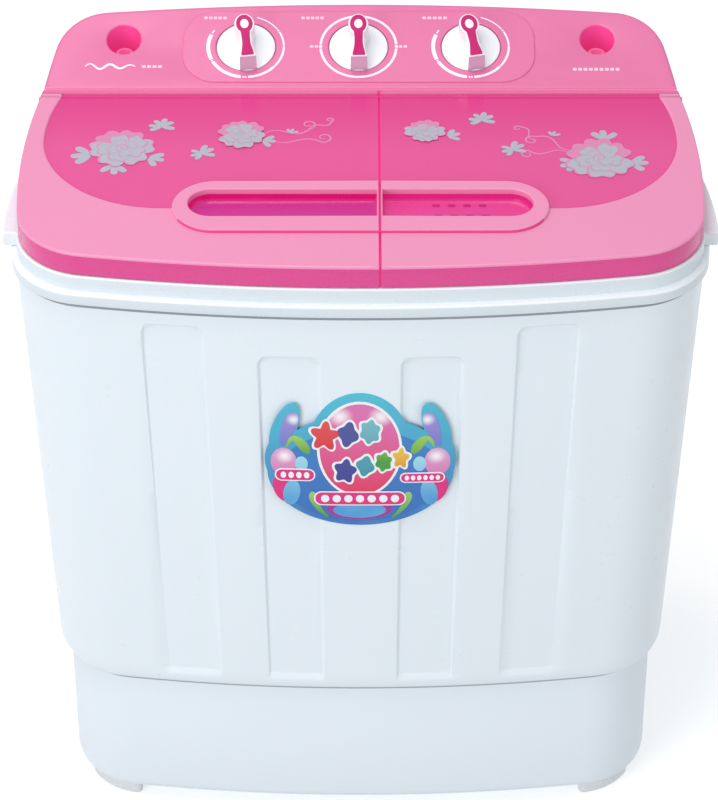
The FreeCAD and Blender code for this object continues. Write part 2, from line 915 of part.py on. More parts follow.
def make_overflow_cover():
    """The channel cover on the back wall of the wash tub."""
    x, y, wall = d.wash_x - d.channel_offset, d.channel_y, d.channel_wall
    low_z = d.tub_floor_z + THROUGH
    channel = cut(
        centred_box(d.channel_length, d.channel_depth, d.channel_height, x, y, low_z),
        centred_box(d.channel_length - wall * 2, d.channel_depth, d.channel_height * 2, x, y + wall, low_z),
    )
    channel = common(channel, wash_tub_solid(0, d.tub_floor_z))
    slots = []
    for i in range(10):
        slot_z = low_z + d.slot_pitch * (i + 1.5)
        slot_y = y - d.channel_depth / 2
        slots.append(centred_box(d.slot_length, THROUGH, d.slot_height, x, slot_y, slot_z))
    return cut(channel, *slots)


# ---------------------------------------------------------------- lids


def lid_pad(low_z, top_z, inset=0):
    return shell_pad(low_z, top_z, d.lid_half_width, d.lid_front_y, d.console_back_y, inset)


def lid_reach(side, low_z, top_z, back_y, trim=0):
    """The box that one lid fills: side is -1 for the wash lid and 1 for the spin lid."""
    edge = d.split_x + (d.split_gap + trim) * side
    start = edge if side > 0 else edge - ACROSS
    front_y = -ACROSS / 2
    return box(ACROSS, back_y - front_y, top_z - low_z, start, front_y, low_z)


def window_slab(low_z, top_z, inset, back_y):
    """A slab with the outline of the clear window over both lids."""
    half = d.window_half_width
    lower = (half - d.window_corner, d.window_front_y + d.window_corner, d.window_corner - inset)
    upper = (half - d.window_side_radius, lower[1], d.window_side_radius - inset)
    rise = math.asin(plain(back_y - lower[1]) / plain(upper[2]))
    quarter = math.pi / 2
    body = new_body()
    sketch = new_sketch(body, height=low_z)
    arcs = []
    for side in (1, -1):
        for (x, y, radius), start, end, held in ((lower, -quarter, 0, False), (upper, 0, rise, True)):
            centre = FreeCAD.Vector(plain(x) * side, plain(y), 0)
            circle = Part.Circle(centre, FreeCAD.Vector(0, 0, 1), plain(radius))
            ends = (start, end) if side > 0 else (math.pi - end, math.pi - start)
            index = sketch.addGeometry(Part.ArcOfCircle(circle, *ends))
            if held:
                fix_point(sketch, index, 3, x * side, y)
            else:
                dimension(sketch, "DistanceY", (-1, 1, index, 3), y)
            dimension(sketch, "Radius", (index,), radius)
            arcs.append(index)
    right_low, right_high, left_low, left_high = arcs
    loop = [(right_low, 2, right_high, 1), (left_high, 2, left_low, 1)]
    for a, a_end, b, b_end in loop:
        sketch.addConstraint(Sketcher.Constraint("Tangent", a, a_end, b, b_end))
    back_line = ("Coincident", (right_high, 2), (left_high, 1))
    front_line = ("Tangent", (left_low, 2), (right_low, 1))
    for kind, a, b in (back_line, front_line):
        line = sketch.addGeometry(Part.LineSegment(sketch.getPoint(*a), sketch.getPoint(*b)))
        sketch.addConstraint(Sketcher.Constraint(kind, *a, line, 1))
        sketch.addConstraint(Sketcher.Constraint(kind, line, 2, *b))
    dimension(sketch, "DistanceY", (-1, 1, right_high, 2), back_y)
    dimension(sketch, "DistanceY", (-1, 1, left_high, 1), back_y)
    pad(body, sketch, top_z - low_z)
    return body


def hinge_blocks_x(side):
    """Where one lid's two hinge blocks stand."""
    return [d.hinge_outer_x * side, d.spin_hinge_inner_x if side > 0 else d.wash_hinge_inner_x]


def full_barrel():
    """The hinge barrel right across the machine."""
    return cylinder(d.barrel_radius, ACROSS, -ACROSS / 2, d.hinge_y, d.hinge_z, "x")


def make_lid(side):
    """One clear lid moulding: skirt, window, grip tray and hinge barrel in one piece."""
    inner_top = d.bezel_low_z - d.lid_plate
    shell = cut(lid_pad(d.lid_low_z, d.bezel_low_z), lid_pad(d.lid_low_z, inner_top, d.lid_wall))
    reach = lid_reach(side, d.lid_low_z, d.lid_top_z, d.hinge_y)
    rib_low, rib_front = d.lid_low_z + d.rib_drop, d.lid_front_y + d.lid_wall * 2
    rib_x = d.split_x + (d.split_gap if side > 0 else -d.split_gap - d.lid_wall)
    rib_height = inner_top - rib_low + OVERRUN
    rib = box(d.lid_wall, d.hinge_y - rib_front, rib_height, rib_x, rib_front, rib_low)
    pane = window_slab(inner_top, d.pane_z, d.pane_gap, d.hinge_y)
    grow, tray_low = d.tray_wall, d.recess_floor_z - d.tray_wall
    tray_height = inner_top - tray_low + OVERRUN
    tray = stadium(d.recess_half_length + grow, d.recess_half_depth + grow, tray_low, tray_height, d.recess_y)
    hollow = stadium(d.recess_half_length, d.recess_half_depth, d.recess_floor_z, THROUGH, d.recess_y)
    hollow = common(hollow, lid_reach(side, d.recess_floor_z, d.lid_top_z + THROUGH, d.hinge_y, d.rail))
    lid = common(cut(fuse(shell, rib, pane, tray), hollow), reach)
    barrel = common(full_barrel(), lid_pad(d.lid_low_z, d.lid_top_z))
    lid = fuse(lid, common(barrel, lid_reach(side, d.lid_low_z, d.lid_top_z, d.hinge_y + THROUGH)))
    notches = []
    for x in hinge_blocks_x(side):
        width = d.hinge_block + OVERRUN
        notches.append(
            cylinder(d.barrel_radius + d.barrel_gap, width, x - width / 2, d.hinge_y, d.hinge_z, "x")
        )
        notches.append(
            cylinder(d.hinge_rod, d.hinge_rod_length, x - d.hinge_rod_length / 2, d.hinge_y, d.hinge_z, "x")
        )
    return cut(lid, *notches)


BEZEL_BACK = d.hinge_y + 2.5
WINDOW_BACK = d.hinge_y + 2.6


def make_bezel(side):
    """The opaque frame bonded on top of a lid, with its raised grip surround."""
    plate = lid_pad(d.bezel_low_z, d.lid_top_z)
    round_level(plate, d.lid_top_z, d.bezel_edge_radius)
    plate = common(plate, lid_reach(side, d.bezel_low_z, d.lid_top_z, BEZEL_BACK))
    low, top = d.bezel_low_z - OVERRUN, d.lid_top_z + THROUGH
    inside = lid_reach(side, low, top, WINDOW_BACK, d.rail)
    window = common(window_slab(d.bezel_low_z, d.lid_top_z, 0, WINDOW_BACK), inside)
    grip_top = d.lid_top_z + d.grip_rise
    grip = stadium(
        d.grip_half_length, d.grip_half_depth, d.bezel_low_z, grip_top - d.bezel_low_z, d.grip_y
    )
    radius = plain(d.grip_edge_radius)
    grip = rounded(grip, radius, lambda e: abs(e.BoundBox.ZMin - plain(grip_top)) < EDGE_MARGIN)
    grip = common(grip, lid_reach(side, d.bezel_low_z, top, d.hinge_y))
    hollow = common(stadium(d.recess_half_length, d.recess_half_depth, low, THROUGH, d.recess_y), inside)
    pane_under = common(
        window_slab(low, d.pane_z, d.pane_gap, WINDOW_BACK + THROUGH / 2),
        lid_reach(side, low, d.pane_z, WINDOW_BACK + THROUGH),
    )
    frame = fuse(cut(plate, window), grip)
    return cut(frame, hollow, pane_under, full_barrel())


def make_hinge_pins(side):
    rods = []
    for x in hinge_blocks_x(side):
        start = x - d.hinge_rod_length / 2
        rods.append(cylinder(d.hinge_rod, d.hinge_rod_length, start, d.hinge_y, d.hinge_z, "x"))
    return group(*rods)


def make_hinge_blocks():
    blocks = []
    for side in (-1, 1):
        for x in hinge_blocks_x(side):
            start = x - d.hinge_block / 2
            knuckle = cylinder(d.barrel_radius, d.hinge_block, start, d.hinge_y, d.hinge_z, "x")
            post_y = d.hinge_y - d.hinge_post / 2
            post = box(d.hinge_block, d.hinge_post, d.hinge_z - d.deck_z, start, post_y, d.deck_z)
            bore_radius, bore_length = d.hinge_rod + d.running_gap, d.hinge_block + OVERRUN * 2
            bore = cylinder(bore_radius, bore_length, start - OVERRUN, d.hinge_y, d.hinge_z, "x")
            blocks.append(cut(fuse(knuckle, post), bore))
    return group(*blocks)


# ---------------------------------------------------------------- console

PANEL_TILT = math.atan2(plain(d.panel_top_z - d.panel_low_z), plain(d.panel_top_y - d.panel_low_y))
PANEL_TURN = FreeCAD.Rotation(FreeCAD.Vector(1, 0, 0), math.degrees(PANEL_TILT))


def panel_z(y):
    """Height of the sloping panel at y."""
    return d.panel_low_z + (y - d.panel_low_y) * math.tan(PANEL_TILT)


def on_panel(obj, x, y, lean=0):
    """Stands an object built about its own origin on the sloping panel."""
    turn = FreeCAD.Rotation(FreeCAD.Vector(0, 0, 1), lean)
    obj.Placement = FreeCAD.Placement(FreeCAD.Vector(), PANEL_TURN.multiply(turn))
    return place(obj, x, y, panel_z(y))


def under_panel(obj, x, y, depth):
    """Stands an object on a point depth below the panel, square to it."""
    obj.Placement = FreeCAD.Placement(FreeCAD.Vector(), PANEL_TURN)
    return place(obj, x, y + math.sin(PANEL_TILT) * depth, panel_z(y) - math.cos(PANEL_TILT) * depth)


def console_form(inset, low_z, front_y):
    """The console's wedge: the shell outline under the sloping panel."""
    drop = inset / math.cos(PANEL_TILT)
    body = new_body()
    sketch = new_sketch(body, "YZ_Plane", -ACROSS / 2)
    back = d.console_back_y + THROUGH
    front_z, back_z = panel_z(front_y) - drop, panel_z(back) - drop
    draw_polygon(sketch, [(front_y, low_z), (back, low_z), (back, back_z), (front_y, front_z)])
    pad(body, sketch, ACROSS)
    plan = (d.console_half_width, d.lid_front_y, d.console_back_y)
    return common(body, shell_pad(low_z, back_z + THROUGH, *plan, inset))


def make_console():
    no_inset = Size(0, "0")
    form = console_form(no_inset, d.deck_z, d.console_front_y)
    slope = math.cos(PANEL_TILT)

    def top_edge(edge):
        middle = edge.valueAt((edge.FirstParameter + edge.LastParameter) / 2)
        ends = [v.Point for v in edge.Vertexes]
        on_slope = all(abs(p.z - plain(panel_z(p.y))) * slope < EDGE_MARGIN for p in [middle, *ends])
        return on_slope and middle.y > plain(d.console_front_y) + EDGE_MARGIN

    outer = rounded(form, plain(d.console_edge_radius), top_edge)
    inner = console_form(d.wall, d.deck_z, d.console_front_y + d.wall)
    raised = new_body()
    sketch = new_sketch(raised)
    half, pad_low = d.pad_half_width, d.pad_front_y - d.knob_y
    draw_rounded_rectangle(sketch, -half, pad_low, half, pad_low + d.pad_depth, d.pad_corner)
    pad(raised, sketch, d.pad_rise)
    on_panel(raised, 0, d.knob_y)
    cups = []
    tools = []
    for side in (-1, 1):
        x, low_z = d.inlet_x * side, d.inlet_floor_z - d.inlet_cup_wall
        wall = cylinder(d.inlet_hole_radius + d.inlet_cup_wall, THROUGH * 3, x, d.inlet_y, low_z)
        cups.append(common(wall, form))
        tools.append(cylinder(d.inlet_hole_radius, THROUGH * 3, x, d.inlet_y, d.inlet_floor_z))
        tools.append(cylinder(d.spigot_tail, THROUGH, x, d.inlet_y, d.inlet_floor_z - THROUGH / 2))
    for i in (-1, 0, 1):
        x, well = knob_x(i), cylinder(d.dial_well_radius, THROUGH / 2)
        tools.append(under_panel(well, x, d.knob_y, plain(d.dial_well)))
        spindle_hole = cylinder(d.spindle_radius + OVERRUN, THROUGH)
        tools.append(under_panel(spindle_hole, x, d.knob_y, THROUGH / 2))
    return cut(fuse(cut(outer, inner), raised, *cups), *tools)


def knob_x(i):
    return d.knob_centre_x + d.knob_pitch * i


KNOB_LEANS = {-1: 6, 0: 1, 1: 10}  # degrees each pointer leans from straight back
BAR_POINTS = [(7, -25), (4.2, -6), (4.2, 2), (6.5, 10)]
INLAY_POINTS = [(5, -23), (2.6, -6), (2.6, 2), (4.5, 11)]


def mirrored(points):
    """An outline from its right half."""
    return points + [(-x, y) for x, y in reversed(points)]


def make_knob(i):
    """A dial disc with a grip bar that ends in a loop, and its spindle."""
    disc_low = d.timer_gap - d.dial_well
    disc_top = disc_low + d.dial_thickness
    disc = cylinder(d.dial_radius, d.dial_thickness, 0, 0, disc_low)
    bar = new_body()
    sketch = new_sketch(bar, height=disc_top)
    draw_polygon(sketch, mirrored(BAR_POINTS))
    pad(bar, sketch, d.knob_grip_height)
    loop = cylinder(d.loop_radius, d.knob_grip_height, 0, d.loop_y, disc_top)
    spindle = cylinder(d.spindle_radius, d.spindle_length, 0, 0, disc_low - d.spindle_length)
    return on_panel(fuse(disc, bar, loop, spindle), knob_x(i), d.knob_y, KNOB_LEANS[i])


def make_knob_inlay(i):
    """The coloured pointer set on top of a grip bar."""
    low = d.timer_gap - d.dial_well + d.dial_thickness + d.knob_grip_height
    body = new_body()
    sketch = new_sketch(body, height=low)
    draw_polygon(sketch, mirrored(INLAY_POINTS))
    pad(body, sketch, d.inlay_thickness)
    loop = cylinder(d.loop_radius - d.inlay_margin, d.inlay_thickness, 0, d.loop_y, low)
    window = cylinder(d.loop_window, THROUGH, 0, d.loop_y, low - OVERRUN)
    return on_panel(cut(fuse(body, loop), window), knob_x(i), d.knob_y, KNOB_LEANS[i])


def make_timer(i, length, width, height):
    """A clockwork timer or switch block hung under the panel around its spindle."""
    block = cut(
        box(length, width, height, -length / 2, -width / 2, -height),
        cylinder(d.spindle_radius + d.running_gap, height + OVERRUN * 2, 0, 0, -height - OVERRUN),
    )
    return under_panel(block, knob_x(i), d.knob_y, plain(d.wall + d.timer_gap))


def make_inlet_spigots():
    spigots = []
    for side in (-1, 1):
        x = d.inlet_x * side
        mouth = cylinder(d.spigot_radius, d.spigot_top_z - d.inlet_floor_z, x, d.inlet_y, d.inlet_floor_z)
        tail = cylinder(d.spigot_tail, d.inlet_floor_z - d.deck_z, x, d.inlet_y, d.deck_z)
        bore = cylinder(d.spigot_bore, THROUGH * 3, x, d.inlet_y, d.deck_z - OVERRUN)
        spigots.append(cut(fuse(mouth, tail), bore))
    return group(*spigots)


# ---------------------------------------------------------------- wash drive


PULSATOR_RIBS = 6
SHAFT_BITE = 11  # how far the shaft runs up into the pulsator


def make_pulsator():
    """The ribbed disc that turns in the bottom of the wash tub."""
    r = d.pulsator_radius
    section = [(0, 0), (r - 6, 0), (r, 4), (r, 7), (r - 5, 8), (24, 12), (12, 18), (0, 20)]
    dish = revolve(section, d.wash_x, d.tub_y, d.pulsator_z)
    rib_start, rib_width, rib_low, rib_height = 8, 8, 4, 12
    ribs = []
    for i in range(PULSATOR_RIBS):
        turn = FreeCAD.Rotation(FreeCAD.Vector(0, 0, 1), i * 360 / PULSATOR_RIBS)
        rib = box(r - 18, rib_width, rib_height)
        rib.Placement.Rotation = turn
        start = turn.multVec(FreeCAD.Vector(rib_start, -rib_width / 2, 0))
        ribs.append(place(rib, d.wash_x + start.x, d.tub_y + start.y, d.pulsator_z + rib_low))
    bore = cylinder(d.shaft_radius, SHAFT_BITE + OVERRUN, d.wash_x, d.tub_y, d.pulsator_z - OVERRUN)
    return cut(fuse(dish, *ribs), bore)


def on_wash_axis(obj_maker, *sizes, z):
    return obj_maker(*sizes, d.wash_x, d.tub_y, z)


def make_pulsator_shaft():
    low = d.pulley_z - d.pulley_width / 2 - OVERRUN
    return on_wash_axis(cylinder, d.shaft_radius, d.pulsator_z + SHAFT_BITE - OVERRUN - low, z=low)


def make_pulsator_seal():
    sizes = (d.bush_radius, d.shaft_radius + d.running_gap, d.seal_height)
    return on_wash_axis(ring, *sizes, z=d.tub_floor_z - d.tub_wall)


def make_bearing_housing():
    low, top = d.pulley_z + d.housing_drop, d.tub_floor_z - d.tub_wall
    flange = on_wash_axis(cylinder, d.housing_radius * 2, d.housing_flange, z=top - d.housing_flange)
    tube = on_wash_axis(cylinder, d.housing_radius, top - low, z=low)
    bore = on_wash_axis(cylinder, d.bush_radius, top - low, z=low)
    return cut(fuse(flange, tube), bore)


def make_shaft_bushes():
    low, top = d.pulley_z + d.housing_drop, d.tub_floor_z - d.tub_wall
    sizes = (d.bush_radius, d.shaft_radius + d.running_gap, d.bush_length)
    return group(on_wash_axis(ring, *sizes, z=low), on_wash_axis(ring, *sizes, z=top - d.bush_length))


def make_pulley(radius, bore, x, y):
    half, rim = d.pulley_width / 2, 1.5
    root, root_half = radius - d.groove_depth, 2
    low_side = [(bore, -half), (radius, -half), (radius, -half + rim), (root, -root_half)]
    top_side = [(root, root_half), (radius, half - rim), (radius, half), (bore, half)]
    return revolve(low_side + top_side, x, y, d.pulley_z)


MOTOR_Y = d.tub_y + d.motor_offset


def make_drive_belt():
    """The belt as a closed loop round both pulleys, clear of their grooves."""
    body = new_body()
    sketch = new_sketch(body, height=d.pulley_z - d.belt_height / 2)
    thickness = d.groove_depth + OVERRUN
    big = plain(d.driven_pulley_radius - d.groove_depth + d.belt_gap)
    small = plain(d.motor_pulley_radius - d.groove_depth + d.belt_gap)
    x, y0, y1 = plain(d.wash_x), plain(d.tub_y), plain(MOTOR_Y)
    spread = math.asin((big - small) / (y1 - y0))
    up = FreeCAD.Vector(0, 0, 1)
    for grow in (0, plain(thickness)):
        arcs = []
        small_span = (y1, small + grow, spread, math.pi - spread)
        big_span = (y0, big + grow, math.pi - spread, 2 * math.pi + spread)
        for y, radius, start, end in (small_span, big_span):
            circle = Part.Circle(FreeCAD.Vector(x, y, 0), up, radius)
            arcs.append(sketch.addGeometry(Part.ArcOfCircle(circle, start, end)))
        for a, b in ((arcs[0], arcs[1]), (arcs[1], arcs[0])):
            line = sketch.addGeometry(Part.LineSegment(sketch.getPoint(a, 2), sketch.getPoint(b, 1)))
            sketch.addConstraint(Sketcher.Constraint("Coincident", a, 2, line, 1))
            sketch.addConstraint(Sketcher.Constraint("Coincident", line, 2, b, 1))
    pad(body, sketch, d.belt_height)
    return body


def make_motor_housing(x, y, radius, low_z, top_z, bore):
    height = top_z - low_z
    wall = d.motor_wall
    return cut(
        cylinder(radius, height, x, y, low_z),
        cylinder(radius - wall, height - wall * 2, x, y, low_z + wall),
        cylinder(bore + d.running_gap, height + OVERRUN * 2, x, y, low_z - OVERRUN),
    )


def make_motor_rotor(x, y, low_z, top_z, shaft, shaft_top):
    gap = d.motor_wall + d.rotor_gap
    core = cylinder(d.rotor_radius, top_z - low_z - gap * 2, x, y, low_z + gap)
    shaft_low = low_z - d.motor_wall
    return fuse(core, cylinder(shaft, shaft_top - shaft_low, x, y, shaft_low))


def make_wash_motor_bracket():
    floor = d.foot_rise + d.wall
    width, offset = d.bracket_width, d.bracket_leg_offset
    plate = cut(
        centred_box(width, width, d.bracket_plate, d.wash_x, MOTOR_Y, d.motor_top_z),
        cylinder(d.motor_shaft_radius * 2, THROUGH, d.wash_x, MOTOR_Y, d.motor_top_z - OVERRUN),
    )
    legs = []
    for sx in (-1, 1):
        for sy in (-1, 1):
            x, y = d.wash_x + offset * sx, MOTOR_Y + offset * sy
            legs.append(cylinder(d.bracket_leg_radius, d.motor_top_z - floor, x, y, floor))
    return fuse(plate, *legs)


CAPACITOR_X = (-30, 20)


def make_capacitors():
    floor = d.foot_rise + d.wall
    sizes = (d.capacitor_radius, d.capacitor_height)
    return group(*[cylinder(*sizes, x, d.capacitor_y, floor) for x in CAPACITOR_X])


# ---------------------------------------------------------------- spin drive


BASKET_ROWS, BASKET_AROUND = 5, 14
PRESS_HOLES = ((26, 8), (42, 12), (58, 18), (74, 24))  # ring radius, holes in it


def make_spin_basket():
    """The perforated basket with its turned-in mouth."""
    low_z, top_z, t = d.basket_low_z, d.basket_top_z, d.basket_wall
    low_r, top_r = d.basket_low_radius, d.basket_top_radius
    wall = cut(
        cone(low_r, top_r, top_z - low_z, d.spin_x, d.tub_y, low_z),
        cone(low_r - t, top_r - t, top_z - low_z - t * 2, d.spin_x, d.tub_y, low_z + t),
        cylinder(d.basket_mouth, THROUGH, d.spin_x, d.tub_y, top_z - THROUGH / 2),
        cylinder(d.spin_shaft_radius, THROUGH * 2, d.spin_x, d.tub_y, low_z - THROUGH / 2),
    )
    hub = ring(d.hub_radius, d.spin_shaft_radius, d.hub_height, d.spin_x, d.tub_y, low_z + t)
    holes = []
    centre = FreeCAD.Vector(plain(d.spin_x), plain(d.tub_y), plain(low_z))
    near, far = plain(low_r) - THROUGH / 2, plain(top_r) + THROUGH / 2
    for row in range(BASKET_ROWS):
        rise = plain(d.basket_hole_first + d.basket_hole_pitch * row)
        level = centre + FreeCAD.Vector(0, 0, rise)
        for k in range(BASKET_AROUND):
            angle = 2 * math.pi * (k + row % 2 / 2) / BASKET_AROUND
            outward = FreeCAD.Vector(math.cos(angle), math.sin(angle), 0)
            start, end = tuple(level + outward * near), tuple(level + outward * far)
            holes.append(rod(start, end, d.basket_hole_radius))
    return cut(fuse(wall, hub), group(*holes))


def make_press_plate():
    """The perforated plate that keeps clothes down in the basket."""
    plate = cylinder(d.press_radius, d.press_plate, d.spin_x, d.tub_y, d.press_z)
    holes = []
    for ring_radius, count in PRESS_HOLES:
        for k in range(count):
            angle = 2 * math.pi * k / count
            x, y = d.spin_x + ring_radius * math.cos(angle), d.tub_y + ring_radius * math.sin(angle)
            holes.append(cylinder(d.basket_hole_radius, THROUGH, x, y, d.press_z - THROUGH / 2))
    grip_sizes = (d.press_grip_radius, d.press_grip_bore, d.press_grip_height)
    return fuse(cut(plate, group(*holes)), ring(*grip_sizes, d.spin_x, d.tub_y, d.press_z))


DRUM_SHAFT_SEAT = 2  # where the spin shaft starts above the drum's underside


def make_spin_shaft():
    low = d.drum_z + DRUM_SHAFT_SEAT
    top = d.basket_low_z + d.basket_wall + d.hub_height
    return cylinder(d.spin_shaft_radius, top - low, d.spin_x, d.tub_y, low)


def make_spin_bellows():
    """The rubber boot that seals the tub floor round the spinning shaft."""
    outer, bore = d.boot_radius, d.spin_shaft_radius + d.running_gap
    neck, seat = bore + 5, outer - 4
    outside = [(bore, -26), (neck, -26), (neck, -19), (22, -14), (15, -9), (outer, -4), (outer, 0)]
    inside = [(seat, 0), (seat, 4), (17, 4), (17, -4), (11.5, -9), (18, -14), (bore, -20)]
    return revolve(outside + inside, d.spin_x, d.tub_y, d.tub_floor_z - d.tub_wall)


def make_brake_drum():
    z, r = d.drum_z, d.drum_radius
    rim = cut(
        cylinder(r, d.drum_height, d.spin_x, d.tub_y, z),
        cylinder(r - d.drum_wall, d.drum_height, d.spin_x, d.tub_y, z + d.drum_floor),
    )
    hub_low = z - d.drum_hub_height / 2
    hub = cylinder(d.drum_hub_radius, d.drum_hub_height, d.spin_x, d.tub_y, hub_low)
    motor_seat = z - hub_low + THROUGH / 2
    return cut(
        fuse(rim, hub),
        cylinder(d.spin_shaft_radius, THROUGH * 3, d.spin_x, d.tub_y, z + DRUM_SHAFT_SEAT),
        cylinder(d.shaft_radius, motor_seat, d.spin_x, d.tub_y, hub_low - OVERRUN),
    )


def make_brake_lever():
    z, height = d.drum_z + d.lever_rise, d.lever_height
    shoe_y = d.tub_y + d.drum_radius + d.brake_gap
    px, py = BRAKE_PIVOT
    arm_y = py - d.lever_width / 2
    arm = box(d.lever_length, d.lever_width, height, px, arm_y, z)
    eye = cylinder(d.pivot_collar, height, px, py, z)
    shoe = box(d.shoe_length, arm_y - shoe_y, height, d.spin_x - d.shoe_length / 2, shoe_y, z)
    bore = cylinder(d.pivot_radius + d.running_gap, THROUGH, px, py, z - OVERRUN)
    return cut(fuse(arm, eye, shoe), bore)


def make_brake_pivot_pin():
    floor = d.foot_rise + d.wall
    top = d.drum_z + d.lever_rise + d.lever_height + d.brake_gap
    pin = cylinder(d.pivot_radius, top - floor, *BRAKE_PIVOT, floor)
    return fuse(pin, cylinder(d.pivot_collar, d.lever_width, *BRAKE_PIVOT, floor))


def switch_z():
    """The underside of the lid switch, which hangs under the deck."""
    return d.deck_z - d.wall - d.lever_height


def make_brake_cable():
    z, y = d.drum_z + d.lever_rise + d.lever_height / 2, d.switch_y
    x = BRAKE_PIVOT[0] + d.cable_reach
    start_y = BRAKE_PIVOT[1] + d.pivot_collar
    return bent_rod([(x, start_y, z), (x, y, z), (x, y, switch_z())], d.cable_radius)


def make_spin_motor_carrier():
    z = d.motor_low_z + d.carrier_rise
    return ring(d.carrier_radius, d.motor_radius, d.carrier_plate, d.spin_x, d.tub_y, z)


def make_suspension_springs():
    floor = d.foot_rise + d.wall
    height = d.motor_low_z + d.carrier_rise - floor
    springs = []
    for k in range(3):
        angle = math.pi / 2 + 2 * math.pi * k / 3
        x = d.spin_x + d.spring_circle * math.cos(angle)
        y = d.tub_y + d.spring_circle * math.sin(angle)
        springs.append(coil_spring(plain(d.spring_radius), plain(d.spring_wire), height, 7, x, y, floor))
    return group(*springs)


def coil_spring(radius, wire, height, turns, x, y, z):
    """A helical spring between two flat ends."""
    obj = DOC.addObject("Part::Feature", "coil")
    rise = plain(height) - wire * 2
    helix = Part.makeHelix(rise / turns, rise, radius)
    helix.translate(FreeCAD.Vector(0, 0, wire))
    section = Part.Wire(Part.makeCircle(wire, FreeCAD.Vector(radius, 0, wire), FreeCAD.Vector(0, 1, 0)))
    obj.Shape = Part.Wire(helix.Edges).makePipeShell([section], True, True)
    obj.Placement = FreeCAD.Placement(FreeCAD.Vector(), FreeCAD.Rotation())
    return place(obj, x, y, z)


def make_lid_switch():
    x = BRAKE_PIVOT[0] + d.cable_reach
    return centred_box(d.switch_length, d.switch_width, d.lever_height, x, d.switch_y, switch_z())


# ---------------------------------------------------------------- drain and wiring


def valve_solid():
    """The drain valve's outer form."""
    return cylinder(d.valve_radius, d.valve_top_z - d.valve_low_z, d.valve_x, d.valve_y, d.valve_low_z)


def make_valve_body():
    r, low, top, wall = d.valve_radius, d.valve_low_z, d.valve_top_z, d.valve_wall
    return cut(
        valve_solid(),
        cylinder(r - wall, top - low - wall * 2, d.valve_x, d.valve_y, low + wall),
        cylinder(d.valve_stem_radius + OVERRUN, THROUGH, d.valve_x, d.valve_y, top - THROUGH / 2),
        cylinder(d.hose_bore, THROUGH * 2, d.valve_x, d.valve_y, d.hose_z, "y"),
    )


def make_valve_plug():
    x, y = d.valve_x, d.valve_y
    disc = cylinder(d.valve_plug_radius, d.valve_disc, x, y, d.valve_plug_z)
    stem = cylinder(d.valve_stem_radius, d.stem_top_z - d.valve_plug_z, x, y, d.valve_plug_z)
    hook = centred_box(d.hook_length, d.hook_width, d.hook_height, x, y, d.stem_top_z - d.hook_height)
    return fuse(disc, stem, hook)


def make_valve_spring():
    low = d.valve_plug_z + d.valve_disc
    height = d.valve_top_z - d.valve_wall - low
    sizes = (plain(d.valve_spring_radius), plain(d.valve_spring_wire))
    return coil_spring(*sizes, height, 5, d.valve_x, d.valve_y, low)


def make_drain_pipes():
    """The pipes that lead from both tub floors to the valve body."""
    pipes = []
    top = plain(d.tub_floor_z - d.tub_wall)
    reach = plain(d.valve_radius) * 0.75
    for (x, y), port_z, side in ((WASH_DRAIN, 150, -1), (SPIN_DRAIN, 132, 1)):
        port = (plain(d.valve_x) + side * reach, plain(d.valve_y) - reach, port_z)
        outer = bent_rod([(x, y, top), (x, y, port_z), port], d.drain_bore + d.pipe_wall)
        inner = bent_rod([(x, y, top + OVERRUN), (x, y, port_z), port], d.drain_bore)
        pipes.append(cut(outer, inner, valve_solid()))
    return group(*pipes)


def make_drain_hose():
    """The corrugated hose from the valve out through the back."""
    start_y = d.valve_y + d.valve_radius - d.hose_rib
    cuff = d.hose_radius - d.hose_rib
    tube = cylinder(cuff, d.band_back_y - start_y, d.valve_x, start_y, d.hose_z, "y")
    ribs = []
    for i in range(5):
        rib_y = d.band_back_y - d.hose_radius - d.hose_rib_pitch * i
        ribs.append(cylinder(d.hose_radius, d.hose_rib, d.valve_x, rib_y, d.hose_z, "y"))
    bore = cylinder(cuff - d.hose_rib, THROUGH * 4, d.valve_x, start_y - OVERRUN, d.hose_z, "y")
    return cut(fuse(tube, *ribs), bore, valve_solid())


def make_power_cord():
    start_y = d.band_back_y - THROUGH * 3.5
    return rod((CORD_X, start_y, CORD_Z), (CORD_X, d.band_back_y, CORD_Z), d.cord_radius)


HARNESS = (150, 150)


def make_wire_harness():
    x, y = HARNESS
    return rod((x, y, d.motor_low_z), (x, y, d.deck_z - THROUGH), d.harness_radius)


# ---------------------------------------------------------------- the machine

keep(make_base_tray(), "base_tray")
keep(make_feet(), "feet")
keep(make_outer_shell(), "outer_shell")
keep(make_back_cover(), "back_cover")
keep(make_case_screws(), "back_cover_screws")
keep(make_front_badge(), "front_badge")
keep(make_twin_tub(), "twin_tub")
keep(make_side_grip(-1), "left_side_grip")
keep(make_side_grip(1), "right_side_grip")
keep(make_overflow_cover(), "overflow_cover")
for side, name in ((-1, "wash_lid"), (1, "spin_lid")):
    keep(make_lid(side), name)
    keep(make_bezel(side), name + "_bezel")
    keep(make_hinge_pins(side), name + "_hinge_pins")
keep(make_hinge_blocks(), "hinge_blocks")
keep(make_console(), "console")
for i, name in ((-1, "wash_timer"), (0, "drain_selector"), (1, "spin_timer")):
    keep(make_knob(i), name + "_knob")
    keep(make_knob_inlay(i), name + "_knob_inlay")
timer_size = (d.timer_length, d.timer_width, d.timer_height)
keep(make_timer(-1, *timer_size), "wash_timer")
keep(make_timer(0, d.selector_length, d.selector_width, d.selector_height), "drain_selector")
keep(make_timer(1, *timer_size), "spin_timer")
keep(make_inlet_spigots(), "inlet_spigots")

